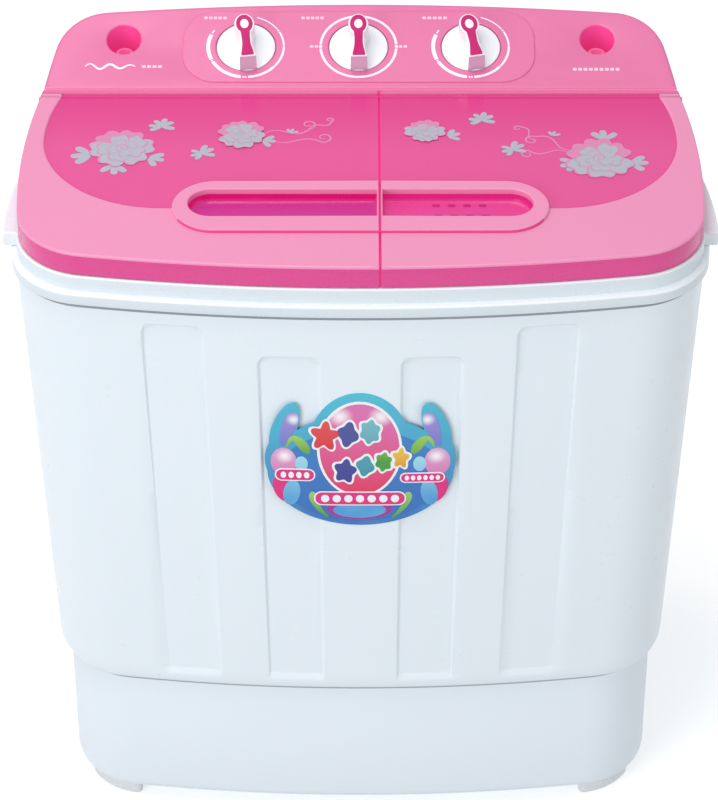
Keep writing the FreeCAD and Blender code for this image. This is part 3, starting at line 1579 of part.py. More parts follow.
keep(make_pulsator(), "pulsator")
keep(make_pulsator_shaft(), "pulsator_shaft")
keep(make_pulsator_seal(), "pulsator_seal")
keep(make_bearing_housing(), "bearing_housing")
keep(make_shaft_bushes(), "shaft_bushes")
keep(make_pulley(d.driven_pulley_radius, d.shaft_radius, d.wash_x, d.tub_y), "driven_pulley")
keep(make_pulley(d.motor_pulley_radius, d.motor_shaft_radius, d.wash_x, MOTOR_Y), "motor_pulley")
keep(make_drive_belt(), "drive_belt")
motor_span = (d.motor_low_z, d.motor_top_z)
wash_shaft, wash_shaft_top = d.motor_shaft_radius, d.pulley_z + d.pulley_width / 2
keep(make_motor_housing(d.wash_x, MOTOR_Y, d.motor_radius, *motor_span, wash_shaft), "wash_motor_housing")
keep(make_motor_rotor(d.wash_x, MOTOR_Y, *motor_span, wash_shaft, wash_shaft_top), "wash_motor_rotor")
keep(make_wash_motor_bracket(), "wash_motor_bracket")
keep(make_capacitors(), "motor_capacitors")

keep(make_motor_housing(d.spin_x, d.tub_y, d.motor_radius, *motor_span, d.shaft_radius), "spin_motor_housing")
keep(make_motor_rotor(d.spin_x, d.tub_y, *motor_span, d.shaft_radius, d.drum_z), "spin_motor_rotor")
keep(make_spin_motor_carrier(), "spin_motor_carrier")
keep(make_suspension_springs(), "suspension_springs")
keep(make_spin_basket(), "spin_basket")
keep(make_press_plate(), "spin_press_plate")
keep(make_spin_shaft(), "spin_shaft")
keep(make_spin_bellows(), "spin_bellows")
keep(make_brake_drum(), "brake_drum")
keep(make_brake_lever(), "brake_lever")
keep(make_brake_pivot_pin(), "brake_pivot_pin")
keep(make_brake_cable(), "brake_cable")
keep(make_lid_switch(), "lid_switch")

keep(make_valve_body(), "drain_valve_body")
keep(make_valve_plug(), "drain_valve_plug")
keep(make_valve_spring(), "drain_valve_spring")
keep(make_drain_pipes(), "drain_pipes")
keep(make_drain_hose(), "drain_hose")
keep(make_power_cord(), "power_cord")
keep(make_wire_harness(), "wire_harness")

DOC.recompute()
faults = [obj.Name for obj in DOC.Objects if {"Invalid", "Error"} & set(obj.State)]
faults += [name for name, obj in PARTS.items() if obj.Shape.isNull() or not obj.Shape.isValid()]
if faults:
    raise RuntimeError(f"these objects failed: {faults}")
os.makedirs("parts", exist_ok=True)
for name, obj in PARTS.items():
    obj.Shape.exportStep(f"parts/{name}.step")
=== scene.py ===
import json
import math
import random
from collections import namedtuple

import bmesh
import bpy
from mathutils import Matrix, Vector


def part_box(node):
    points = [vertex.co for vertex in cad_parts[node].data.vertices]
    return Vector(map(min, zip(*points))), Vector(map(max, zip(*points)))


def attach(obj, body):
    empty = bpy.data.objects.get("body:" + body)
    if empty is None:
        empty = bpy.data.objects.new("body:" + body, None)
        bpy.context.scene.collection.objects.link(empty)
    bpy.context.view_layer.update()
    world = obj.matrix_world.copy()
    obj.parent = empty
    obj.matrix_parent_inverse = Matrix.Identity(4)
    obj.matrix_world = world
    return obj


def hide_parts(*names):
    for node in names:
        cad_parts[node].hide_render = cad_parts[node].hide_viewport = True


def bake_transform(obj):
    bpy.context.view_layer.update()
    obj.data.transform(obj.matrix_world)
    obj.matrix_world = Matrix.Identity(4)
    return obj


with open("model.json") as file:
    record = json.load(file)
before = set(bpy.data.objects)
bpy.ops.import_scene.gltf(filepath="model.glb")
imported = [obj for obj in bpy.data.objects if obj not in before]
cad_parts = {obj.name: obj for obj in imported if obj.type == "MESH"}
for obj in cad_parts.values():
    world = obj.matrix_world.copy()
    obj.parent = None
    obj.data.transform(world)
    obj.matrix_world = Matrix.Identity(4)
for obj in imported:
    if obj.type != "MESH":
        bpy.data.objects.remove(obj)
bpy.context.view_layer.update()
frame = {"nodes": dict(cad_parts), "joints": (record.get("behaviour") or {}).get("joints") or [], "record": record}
MM = 0.001
random.seed(7)

# ---------------- places taken from the frame


def low(node):
    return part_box(node)[0]


def high(node):
    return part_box(node)[1]


LID_TOP = high("wash_lid_bezel").z - 2 * MM
LID_LOW = low("wash_lid").z
BEZEL_LOW = low("wash_lid_bezel").z
PANE_TOP = high("wash_lid").z
SPLIT = (high("wash_lid").x + low("spin_lid").x) / 2
HINGE_Y = frame["joints"][0]["pos_m"][1]
HINGE_Z = frame["joints"][0]["pos_m"][2]
BARREL = high("wash_lid").y - HINGE_Y
SEAM = low("outer_shell").z
BAND_TOP = high("outer_shell").z
KNOBS = {j["child"]: Vector(j["pos_m"]) for j in frame["joints"] if j["name"].endswith("_turn")}
PANEL_AXIS = -Vector(next(j["axis"] for j in frame["joints"] if j["name"].endswith("_turn")))
PANEL_TILT = math.atan2(-PANEL_AXIS.y, PANEL_AXIS.z)

# ---------------- plan outlines

FRONT_BOW = 1480 * MM
SIDE_BOW = 700 * MM
BACK_BOW = 3000 * MM
SIDE_CENTRE_Y = -35 * MM
FRONT_CORNER = 66 * MM
BACK_CORNER = 48 * MM
# Each corner's radius and the way it points, anticlockwise from the front right.
CORNERS = ((FRONT_CORNER, (1, -1)), (BACK_CORNER, (1, 1)), (BACK_CORNER, (-1, 1)), (FRONT_CORNER, (-1, -1)))
BOW_STEPS, CORNER_STEPS = (56, 28, 40, 28), 16
# A shell's size at one level: its half width and the y of its front and its back.
Plan = namedtuple("Plan", "half front back")


def mix_plans(first, second, share):
    return Plan(*(a + (b - a) * share for a, b in zip(first, second)))


def circle_meet(a, b, outward):
    """The meeting point of circles a and b, each (x, y, radius), that lies furthest along outward."""
    gap = math.hypot(b[0] - a[0], b[1] - a[1])
    along = (a[2] ** 2 - b[2] ** 2 + gap**2) / (2 * gap)
    across = math.sqrt(a[2] ** 2 - along**2)
    ux, uy = (b[0] - a[0]) / gap, (b[1] - a[1]) / gap
    x, y = a[0] + along * ux, a[1] + along * uy
    points = [(x - s * across * uy, y + s * across * ux) for s in (1, -1)]
    return max(points, key=lambda p: p[0] * outward[0] + p[1] * outward[1])


def even_shares(steps, last=0):
    """Shares of the way in even steps from 0; last is 1 if the end itself is among them."""
    return [k / steps for k in range(steps + last)]


def clamp(share):
    return min(1.0, max(0.0, share))


def smooth(share):
    """Eases a share in and out."""
    return share * share * (3 - 2 * share)


def heading(start, end):
    """The direction from one (x, y, ...) to another, as an angle."""
    return math.atan2(end[1] - start[1], end[0] - start[0])


def sweep(centre, start, end, shares):
    """Points anticlockwise round a circle (x, y, radius), at shares of the way between two angles."""
    x, y, radius = centre
    end += 2 * math.pi if end < start else 0
    angles = [start + (end - start) * share for share in shares]
    return [(x + radius * math.cos(a), y + radius * math.sin(a)) for a in angles]


def plan_outline(plan, inset=0.0, front_shares=None, fine=1.0):
    """The bowed, round-cornered outline of a shell, anticlockwise from its front left."""
    bows = [
        (0, plan.front + FRONT_BOW, FRONT_BOW - inset),
        (plan.half - SIDE_BOW, SIDE_CENTRE_Y, SIDE_BOW - inset),
        (0, plan.back - BACK_BOW, BACK_BOW - inset),
        (SIDE_BOW - plan.half, SIDE_CENTRE_Y, SIDE_BOW - inset),
    ]
    corners = []
    for i, (radius, outward) in enumerate(CORNERS):
        a, b, r = bows[i], bows[(i + 1) % 4], radius - inset
        corners.append((*circle_meet((a[0], a[1], a[2] - r), (b[0], b[1], b[2] - r), outward), r))
    points = []
    for i, steps in enumerate(BOW_STEPS):
        bow, corner, after = bows[i], corners[i], bows[(i + 1) % 4]
        shares = front_shares if i == 0 and front_shares else even_shares(int(steps * fine))
        points += sweep(bow, heading(bow, corners[i - 1]), heading(bow, corner), shares)
        shares = even_shares(int(CORNER_STEPS * fine))
        points += sweep(corner, heading(bow, corner), heading(after, corner), shares)
    return points


def arc(x, y, radius, start, end, steps):
    """Points on an arc between two angles in degrees, both ends included."""
    turn = [math.radians(start + (end - start) * k / steps) for k in range(steps + 1)]
    return [(x + radius * math.cos(a), y + radius * math.sin(a)) for a in turn]


def circle(x, y, radius, steps=64):
    return arc(x, y, radius, 0, 360, steps)[:-1]


def turned(points, x, y, degrees):
    """Points turned about the origin, then moved to x, y."""
    c, s = math.cos(math.radians(degrees)), math.sin(math.radians(degrees))
    return [(x + u * c - v * s, y + u * s + v * c) for u, v in points]


def ellipse(x, y, rx, ry, steps=72, lean=0.0):
    return turned([(u * rx, v * ry) for u, v in circle(0, 0, 1, steps)], x, y, lean)


def bend(radius, steps):
    """Steps round a quarter circle, as pairs: one grows from 0 to the radius as the other shrinks to 0."""
    angles = [math.pi / 2 * share for share in even_shares(steps, 1)]
    return [(radius * (1 - math.cos(a)), radius * (1 - math.sin(a))) for a in angles]


def curve_point(start, pull, end, share):
    """A point on the curve from start to end that leans towards pull."""
    return start * (1 - share) ** 2 + pull * 2 * share * (1 - share) + end * share * share


def at_height(points, z):
    return [(x, y, z) for x, y in points]


def clip(points, keep):
    """The part of a closed outline where keep(x, y) is positive; keep is linear."""
    kept = []
    for (x0, y0), (x1, y1) in zip(points, points[1:] + points[:1]):
        k0, k1 = keep(x0, y0), keep(x1, y1)
        if k0 >= 0:
            kept.append((x0, y0))
        if k0 * k1 < 0:
            share = k0 / (k0 - k1)
            kept.append((x0 + (x1 - x0) * share, y0 + (y1 - y0) * share))
    return kept


def area(points):
    return sum(x0 * y1 - x1 * y0 for (x0, y0), (x1, y1) in zip(points, points[1:] + points[:1])) / 2


def moved_in(points, distance, ease=None):
    """An outline moved to its left by distance: inwards on an anticlockwise one.
    ease(x, y), if given, is the share of the distance that a point moves."""
    if not distance:
        return list(points)
    result = []
    count = len(points)
    for i in range(count):
        before, here, after = (Vector(points[k % count]) for k in (i - 1, i, i + 1))
        first, second = (here - before).normalized(), (after - here).normalized()
        left = Vector((-first.y - second.y, first.x + second.x))
        if left.length < 1e-6:
            left = Vector((-first.y, first.x))
        left.normalize()
        lean = max(0.45, left.dot(Vector((-first.y, first.x))))
        share = ease(here.x, here.y) if ease else 1
        result.append(tuple(here + left * (distance * share / lean)))
    return result


# ---------------- mesh building


def link(name, data):
    """Puts new data into the scene as an object."""
    made = bpy.data.objects.new(name, data)
    bpy.context.scene.collection.objects.link(made)
    return made


def make_piece(name, bm, material, body, smooth=38, replaces=None):
    """Turns a bmesh into a piece that rides on a body, or on none yet, and may stand for a CAD node."""
    bmesh.ops.remove_doubles(bm, verts=bm.verts, dist=1e-6)
    bmesh.ops.recalc_face_normals(bm, faces=bm.faces)
    mesh = bpy.data.meshes.new(name)
    bm.to_mesh(mesh)
    bm.free()
    mesh.shade_smooth()
    mesh.set_sharp_from_angle(angle=math.radians(smooth))
    piece = link(name, mesh)
    for item in material if isinstance(material, list) else [material]:
        mesh.materials.append(item)
    if body:
        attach(piece, body)
    if replaces:
        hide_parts(replaces)
    return piece


def paint(bm, pick):
    """Gives each face the material number that pick returns for its centre and its normal."""
    bmesh.ops.recalc_face_normals(bm, faces=bm.faces)
    for face in bm.faces:
        face.material_index = pick(face.calc_center_median(), face.normal)


def mark(rings, number):
    """Gives each face that touches the rings the material of that number."""
    for ring in rings:
        for vertex in ring:
            for face in vertex.link_faces:
                face.material_index = number


def add_rings(bm, rings):
    """Skins a stack of closed rings of 3-D points and returns the rings of vertices."""
    stack = [[bm.verts.new(p) for p in ring] for ring in rings]
    for lower, upper in zip(stack, stack[1:]):
        count = len(lower)
        for j in range(count):
            k = (j + 1) % count
            bm.faces.new((lower[j], lower[k], upper[k], upper[j]))
    return stack


def ring_edges(bm, ring):
    return [bm.edges.get(pair) or bm.edges.new(pair) for pair in zip(ring, ring[1:] + ring[:1])]


def fill(bm, rings):
    """Fills the flat region inside the first ring and outside the others."""
    edges = [edge for ring in rings for edge in ring_edges(bm, ring)]
    bmesh.ops.triangle_fill(bm, use_beauty=True, use_dissolve=False, edges=edges)


def add_solid(bm, rings):
    """A stack of rings with a flat fill at both ends."""
    stack = add_rings(bm, rings)
    fill(bm, [stack[0]])
    fill(bm, [stack[-1]])


def add_pocket(bm, rings, rims):
    """A pocket, from the ring at its mouth, which joins rims, to the one round its flat floor."""
    stack = add_rings(bm, rings)
    rims.append(stack[0])
    fill(bm, [stack[-1]])
    return stack


def edge_profile(top_z, bottom_z, top_round, bottom_round):
    """(inset, z) pairs up the side of a slab, with round edges and a support loop by each flat."""
    steps, support = 5, 0.4 * MM
    pairs = []
    if bottom_round:
        pairs.append((bottom_round + support, bottom_z))
        pairs += [(far, bottom_z + near) for near, far in bend(bottom_round, steps)[:-1]]
    pairs.append((0, bottom_z + bottom_round))
    pairs.append((0, top_z - top_round))
    if top_round:
        pairs += [(near, top_z - far) for near, far in bend(top_round, steps)[1:]]
        pairs.append((top_round + support, top_z))
    return pairs


def level_rings(outline, pairs, ease=None):
    """One ring of 3-D points for each (inset, z) pair."""
    return [at_height(moved_in(outline, inset, ease), z) for inset, z in pairs]


def add_slab(
    bm, outer, holes, bottom_z, top_z, top_round=0.0, bottom_round=0.0, place=None, lift=None, ease=None
):
    """A flat piece with an outline, holes and round edges, built in its own frame and then placed."""
    loops = [outer if area(outer) > 0 else outer[::-1]]
    loops += [hole[::-1] if area(hole) > 0 else hole for hole in holes]
    pairs = edge_profile(top_z, bottom_z, top_round, bottom_round)
    before = set(bm.verts)
    stacks = [add_rings(bm, level_rings(loop, pairs, ease)) for loop in loops]
    fill(bm, [stack[0] for stack in stacks])
    fill(bm, [stack[-1] for stack in stacks])
    new = [v for v in bm.verts if v not in before]
    if lift:
        for v in new:
            v.co = lift(v.co)
    if place:
        bmesh.ops.transform(bm, matrix=place, verts=new)


def slab(name, material, body, *args, replaces=None, **options):
    bm = bmesh.new()
    add_slab(bm, *args, **options)
    return make_piece(name, bm, material, body, replaces=replaces)


def add_lathe(bm, profile, steps, place):
    """A body of revolution about Z from (radius, z) pairs, closed by the radius 0 at both ends."""
    before = set(bm.verts)
    stack = add_rings(bm, [at_height(circle(0, 0, max(radius, 1e-5), steps), z) for radius, z in profile])
    for ring in (stack[0], stack[-1]):
        bmesh.ops.pointmerge(bm, verts=ring, merge_co=sum((v.co for v in ring), Vector()) / len(ring))
    bmesh.ops.transform(bm, matrix=place, verts=[v for v in bm.verts if v not in before])


def add_tube(bm, points, radius, steps=12):
    """A round cord through points, with flat ends."""
    points = [Vector(p) for p in points]
    rings = []
    up = Vector((0, 0, 1))
    for i, p in enumerate(points):
        direction = (points[min(i + 1, len(points) - 1)] - points[max(i - 1, 0)]).normalized()
        if abs(direction.dot(up)) > 0.95:
            up = Vector((1, 0, 0))
        across = direction.cross(up).normalized()
        up = across.cross(direction).normalized()
        rings.append([p + across * u + up * v for u, v in circle(0, 0, radius, steps)])
    stack = add_rings(bm, rings)
    bm.faces.new(stack[0])
    bm.faces.new(stack[-1])


# ---------------- materials


def shader(name):
    material = bpy.data.materials.new(name)
    material.use_nodes = True
    tree = material.node_tree
    return material, tree, tree.nodes["Principled BSDF"]


def wire(target, inputs):
    """Links or sets a node's inputs: each is another node's output, a number, a vector or a colour."""
    for key, value in inputs.items():
        socket = target.inputs[key]
        if isinstance(value, bpy.types.NodeSocket):
            target.id_data.links.new(value, socket)
        else:
            socket.default_value = (*value, 1) if socket.type == "RGBA" else value


def node(tree, kind, output, inputs, **settings):
    """Adds a shader node, wires its inputs and returns one of its outputs."""
    made = tree.nodes.new("ShaderNode" + kind)
    for key, value in settings.items():
        setattr(made, key, value)
    wire(made, inputs)
    return made.outputs[output]


def own_place(tree):
    """A point's place in its own piece."""
    return node(tree, "TexCoord", "Object", {})


def own_axis(tree, axis):
    return node(tree, "SeparateXYZ", axis, {"Vector": own_place(tree)})


def add_noise(tree, scale, detail, place=None):
    where = place if place else own_place(tree)
    return node(tree, "TexNoise", "Fac", {"Scale": scale, "Detail": detail, "Vector": where})


def ramp(tree, value, start, end, first=0.0, last=1.0, curve="LINEAR"):
    """Turns a value that runs from start to end into one that runs from first to last."""
    inputs = {"Value": value, "From Min": start, "From Max": end, "To Min": first, "To Max": last}
    return node(tree, "MapRange", "Result", inputs, interpolation_type=curve)


def noise_between(tree, noise, first, last):
    """Spreads the usual range of a noise over first to last."""
    return ramp(tree, noise, 0.3, 0.7, first, last)


def mix_colours(tree, share, first, second):
    return node(tree, "Mix", "Result", {"Factor": share, "A": first, "B": second}, data_type="RGBA")


def two_tone(tree, noise, colour, darker, lighter):
    """A colour that drifts with noise between a darker and a lighter share of itself."""
    return mix_colours(tree, noise, shade(colour, darker), shade(colour, lighter))


def add_bump(tree, height, strength, distance=0.05 * MM):
    return node(tree, "Bump", "Normal", {"Height": height, "Strength": strength, "Distance": distance})


def srgb(red, green, blue):
    """A linear colour from 0-255 display values."""
    shares = [v / 255 for v in (red, green, blue)]
    return tuple(((v + 0.055) / 1.055) ** 2.4 if v > 0.0393 else v / 12.92 for v in shares)


def shade(colour, share):
    return tuple(min(1.0, c * share) for c in colour)


def plastic(name, colour, rough=0.25, spread=0.05, texture=0.03, coat=0.0, lit=0.0):
    """Moulded plastic: slow colour drift, uneven gloss and a fine moulded texture.
    lit is the strength of a painted glow in the plastic's own colour: painted light that brightens it."""
    material, tree, bsdf = shader(name)
    tone = two_tone(tree, add_noise(tree, 9, 3), colour, 1 - spread, 1 + spread)
    wire(bsdf, {
        "Base Color": tone,
        "Roughness": noise_between(tree, add_noise(tree, 60, 5), rough * 0.8, rough * 1.25),
        "IOR": 1.49,
        "Coat Weight": coat,
        "Coat Roughness": 0.06,
        "Normal": add_bump(tree, add_noise(tree, 700, 3), texture),
    })
    if lit:
        wire(bsdf, {"Emission Color": tone, "Emission Strength": lit})
    return material


def tinted(name, colour, through, see=0.25, rough=0.12, lit=0.0, deep=None):
    """Clear coloured plastic: a glossy dyed body that lets some of what is behind it show.
    deep is a painted reflection: a deeper colour it runs to, and the y in millimetres where that starts and ends,
    or None."""
    material, tree, bsdf = shader(name)
    tone = two_tone(tree, add_noise(tree, 6, 3), colour, 0.97, 1.03)
    if deep:
        reflection_colour, start, end = deep
        tone = mix_colours(tree, ramp(tree, own_axis(tree, "Y"), start * MM, end * MM), tone, reflection_colour)
    wire(bsdf, {
        "Base Color": tone,
        "Emission Color": tone,
        "Emission Strength": lit,
        "Roughness": noise_between(tree, add_noise(tree, 50, 4), rough * 0.8, rough * 1.3),
        "IOR": 1.5,
        "Normal": add_bump(tree, add_noise(tree, 25, 2), 0.04),
    })
    clear = node(tree, "BsdfTransparent", "BSDF", {"Color": through})
    both = node(tree, "MixShader", "Shader", {"Fac": see, 1: bsdf.outputs["BSDF"], 2: clear})
    wire(tree.nodes["Material Output"], {"Surface": both})
    return material


def gradient(name, low_colour, top_colour, span, glow_at=None):
    """Glossy print that runs from one colour to another over a span of heights in millimetres.
    glow_at is the x, height and radius of a soft white light spot, or None."""
    material, tree, bsdf = shader(name)
    height = own_axis(tree, "Z")
    colour = mix_colours(tree, ramp(tree, height, span[0] * MM, span[1] * MM), low_colour, top_colour)
    streaks = noise_between(tree, add_noise(tree, 45, 5), 0.0, 0.14)
    colour = mix_colours(tree, streaks, colour, shade(top_colour, 1.3))
    if glow_at:
        x, z, radius = glow_at
        mirror = node(tree, "Math", "Value", {0: own_axis(tree, "X")}, operation="ABSOLUTE")
        flat = node(tree, "CombineXYZ", "Vector", {"X": mirror, "Z": height})
        spot = (abs(x) * MM, 0, z * MM)
        gap = node(tree, "VectorMath", "Value", {0: flat, 1: spot}, operation="DISTANCE")
        fade = ramp(tree, gap, radius * 1.6 * MM, 0, 0, 0.9, "SMOOTHSTEP")
        colour = mix_colours(tree, fade, colour, (1.0, 1.0, 1.0))
    wire(bsdf, {
        "Base Color": colour,
        "Roughness": noise_between(tree, add_noise(tree, 90, 3), 0.28, 0.40),
        "Coat Weight": 0.1,
        "Normal": add_bump(tree, add_noise(tree, 120, 3), 0.03),
    })
    return material


def metal(name, colour, rough=0.3, grain=(1, 1, 30)):
    """Machined or plated metal with a fine directional grain."""
    material, tree, bsdf = shader(name)
    stretch = node(tree, "Mapping", "Vector", {"Vector": own_place(tree), "Scale": grain})
    noise = add_noise(tree, 120, 5, stretch)
    wire(bsdf, {
        "Base Color": two_tone(tree, noise, colour, 0.85, 1.1),
        "Roughness": noise_between(tree, noise, rough * 0.7, rough * 1.4),
        "Metallic": 1,
        "Normal": add_bump(tree, noise, 0.15, 0.02 * MM),
    })
    return material


def rubber(name, colour, rough=0.65):
    material, tree, bsdf = shader(name)
    speckle = add_noise(tree, 500, 6)
    wire(bsdf, {
        "Base Color": two_tone(tree, speckle, colour, 0.8, 1.25),
        "Roughness": noise_between(tree, speckle, rough * 0.85, min(1, rough * 1.2)),
        "Normal": add_bump(tree, speckle, 0.4, 0.1 * MM),
    })
    return material


def tray_pink(name, colour, lit):
    """The tinted plastic of the grip trays, with a painted glow that lifts it out of the trays' shadow."""
    return tinted(name, colour, (1.0, 0.25, 0.55), see=0.12, rough=0.3, lit=lit)


WHITE = plastic("case_white", srgb(236, 245, 252), rough=0.34, spread=0.008)
RIM_WHITE = plastic("rim_white", srgb(242, 247, 251), rough=0.24, spread=0.008)
# Painted shade: a darker copy of the rim white, for the upright sides of the band and the deck.
SIDE_PAINTED_SHADE = plastic("rim_side_painted_shade", srgb(222, 231, 238), rough=0.3, spread=0.008)
# Painted shade: the grey in the groove under the band, which keeps the groove dark under any light.
SEAM_PAINTED_SHADE = plastic("seam_painted_shade", srgb(204, 207, 213), rough=0.5, spread=0.03)
# Painted shade: the grey in the base's groove at the seam.
BASE_PAINTED_SHADE = plastic("base_seam_painted_shade", srgb(216, 222, 230), rough=0.5, spread=0.02)
BASE_WHITE = plastic("base_white", srgb(234, 243, 251), rough=0.40, spread=0.010, texture=0.06)
TUB_WHITE = plastic("tub_white", srgb(236, 241, 245), rough=0.25, spread=0.010)
PANEL_PINK = plastic("panel_pink", srgb(226, 118, 165), rough=0.36, spread=0.012, coat=0.06)
BEZEL_PINK = plastic("bezel_pink", srgb(238, 147, 187), rough=0.36, spread=0.012, coat=0.06)
# Painted shade: a darker pink for the front of the grip surround's raised side.
EDGE_PAINTED_SHADE = plastic("edge_painted_shade", srgb(222, 84, 148), rough=0.36, spread=0.012)
# Painted light: a lighter, glowing pink that brightens the shaded valley between the console and the lids.
LIP_PAINTED_LIGHT = plastic("lip_painted_light", srgb(236, 128, 176), rough=0.4, spread=0.012, lit=0.6)
SKIRT_PINK = plastic("skirt_pink", srgb(226, 63, 144), rough=0.26, spread=0.02, coat=0.1)
# The lap's pink has a painted glow: painted light in the split between the lids.
SEAM_PINK = plastic("seam_pink", srgb(222, 40, 128), rough=0.4, spread=0.03, lit=0.25)
# Painted reflection: the windows deepen to a stronger pink towards the back, by the console.
WINDOW_REFLECTION = (srgb(242, 66, 152), 0, 84)
WINDOW_PINK = tinted("window_pink", srgb(247, 98, 169), (1.0, 0.35, 0.62), see=0.22, deep=WINDOW_REFLECTION)
# Painted light and shade: the trays' walls and floors, and the two sides, each get their own copy of one tinted
# pink, matched to how light falls there, all with a painted glow.
WASH_WALL_PAINTED_LIGHT = tray_pink("wash_wall_painted_light", srgb(200, 12, 110), 0.42)
SPIN_WALL_PAINTED_LIGHT = tray_pink("spin_wall_painted_light", srgb(204, 34, 124), 0.38)
WASH_FLOOR_PAINTED_LIGHT = tray_pink("wash_floor_painted_light", srgb(180, 46, 130), 0.42)
SPIN_FLOOR_PAINTED_LIGHT = tray_pink("spin_floor_painted_light", srgb(206, 66, 140), 0.34)
GRIP_WHITE = plastic("grip_white", srgb(238, 243, 248), rough=0.24, spread=0.008)
# The spigots' pink has a painted glow.
SPIGOT_PINK = plastic("spigot_pink", srgb(232, 110, 166), rough=0.3, spread=0.03, lit=0.2)
# The inlet cups' inside: a deeper pink with a painted glow that brightens them in their shade.
CUP_PINK = plastic("cup_pink", srgb(222, 68, 142), rough=0.35, spread=0.03, lit=0.24)
STUD_PINK = plastic("stud_pink", srgb(196, 40, 120), rough=0.4, spread=0.05)
KNOB_WHITE = plastic("knob_white", srgb(244, 246, 250), rough=0.22, spread=0.008, coat=0.15)
# Painted shade and reflection of the pink panel, for the front end of the knobs' grips.
KNOB_SHADE = plastic("knob_shade", srgb(216, 193, 214), rough=0.4, spread=0.008)
INLAY_PINK = plastic("inlay_pink", srgb(196, 0, 106), rough=0.6, spread=0.05)
# The dial print's white has a painted glow.
PRINT_WHITE = plastic("print_white", srgb(254, 226, 240), rough=0.4, spread=0.02, lit=0.15)
PRINT_SILVER = tinted("print_silver", srgb(196, 200, 212), (1.0, 0.86, 0.93), see=0.22, rough=0.4)
PRINT_LINE = tinted("print_line", srgb(238, 156, 198), (1.0, 0.7, 0.84), see=0.25, rough=0.4)
PRINT_SOFT = plastic("print_soft", srgb(250, 200, 222), rough=0.4, spread=0.02)
BADGE_EDGE = gradient("badge_edge", srgb(38, 104, 186), srgb(74, 190, 212), (362, 498))
BADGE_BLUE = gradient("badge_blue", srgb(30, 96, 180), srgb(50, 132, 200), (354, 480))
BADGE_PINK = gradient("badge_pink", srgb(224, 16, 76), srgb(220, 112, 178), (392, 478), (-17, 474, 8))
BADGE_VIOLET = gradient("badge_violet", srgb(58, 112, 194), srgb(166, 142, 214), (428, 482), (-56, 470, 5))
BADGE_PEARL = gradient("badge_pearl", srgb(206, 66, 150), srgb(222, 160, 206), (394, 432), (-64, 430, 6))
BADGE_SKY = gradient("badge_sky", srgb(60, 150, 214), srgb(160, 218, 238), (382, 428))
BADGE_GREEN = gradient("badge_green", srgb(30, 140, 40), srgb(172, 216, 96), (426, 460))
BADGE_LEAF = gradient("badge_leaf", srgb(30, 140, 60), srgb(170, 214, 110), (362, 398))
BADGE_WHITE = plastic("badge_white", srgb(246, 248, 252), rough=0.2, spread=0.01)
BADGE_MAGENTA = plastic("badge_magenta", srgb(226, 24, 128), rough=0.2, spread=0.08)
BADGE_PURPLE = plastic("badge_purple", srgb(166, 32, 150), rough=0.2, spread=0.08)
BADGE_RED = gradient("badge_red", srgb(214, 30, 50), srgb(222, 70, 70), (438, 464))
BADGE_NAVY = gradient("badge_navy", srgb(38, 48, 140), srgb(70, 78, 150), (410, 470))
BADGE_TEAL = gradient("badge_teal", srgb(30, 136, 160), srgb(120, 190, 200), (414, 474))
BADGE_GOLD = gradient("badge_gold", srgb(226, 150, 40), srgb(240, 210, 70), (422, 446))
METAL_STEEL = metal("ground_steel", (0.62, 0.62, 0.64))
METAL_ZINC = metal("zinc_plate", (0.55, 0.57, 0.60), rough=0.42, grain=(3, 3, 3))
METAL_CAST = metal("cast_aluminium", (0.62, 0.63, 0.65), rough=0.5, grain=(6, 6, 6))
METAL_BRONZE = metal("sintered_bronze", (0.55, 0.34, 0.16), rough=0.45, grain=(6, 6, 6))
MOTOR_BLACK = plastic("motor_black", (0.03, 0.03, 0.035), rough=0.45, spread=0.2, texture=0.5)
TIMER_GREY = plastic("timer_grey", (0.10, 0.10, 0.11), rough=0.5, spread=0.1, texture=0.4)
HOSE_GREY = plastic("hose_grey", (0.42, 0.44, 0.47), rough=0.45, spread=0.08, texture=0.3)
CABLE_BLACK = rubber("cable_black", (0.02, 0.02, 0.022), 0.5)
RUBBER_BLACK = rubber("rubber_black", (0.02, 0.02, 0.02))
FOOT_GREY = rubber("foot_grey", srgb(226, 231, 237), 0.5)

CAD_FINISH = {
    "shell_white": WHITE, "base_white": BASE_WHITE, "cover_white": BASE_WHITE, "tub_white": TUB_WHITE,
    "grip_white": RIM_WHITE, "badge_print": RIM_WHITE, "lid_clear_pink": WINDOW_PINK,
    "bezel_pink": BEZEL_PINK, "panel_pink": PANEL_PINK, "inlay_pink": INLAY_PINK,
    "knob_white": KNOB_WHITE, "timer_grey": TIMER_GREY, "motor_black": MOTOR_BLACK,
    "hose_grey": HOSE_GREY, "cable_black": CABLE_BLACK, "rubber_black": RUBBER_BLACK,
    "rubber_foot": FOOT_GREY, "zinc": METAL_ZINC, "steel": METAL_STEEL, "spring_steel": METAL_STEEL,
    "aluminium": METAL_CAST, "bronze": METAL_BRONZE,
}


def finish_cad_nodes():
    """Gives every CAD node that stays in view the finish its record slot asks for."""
    slots = {row["node"]: row["material_slot"] for row in frame["record"]["subparts"]}
    for name, part in frame["nodes"].items():
        part.data.materials.clear()
        part.data.materials.append(CAD_FINISH[slots[name]])
        part.data.set_sharp_from_angle(angle=math.radians(35))


# ---------------- outer shell

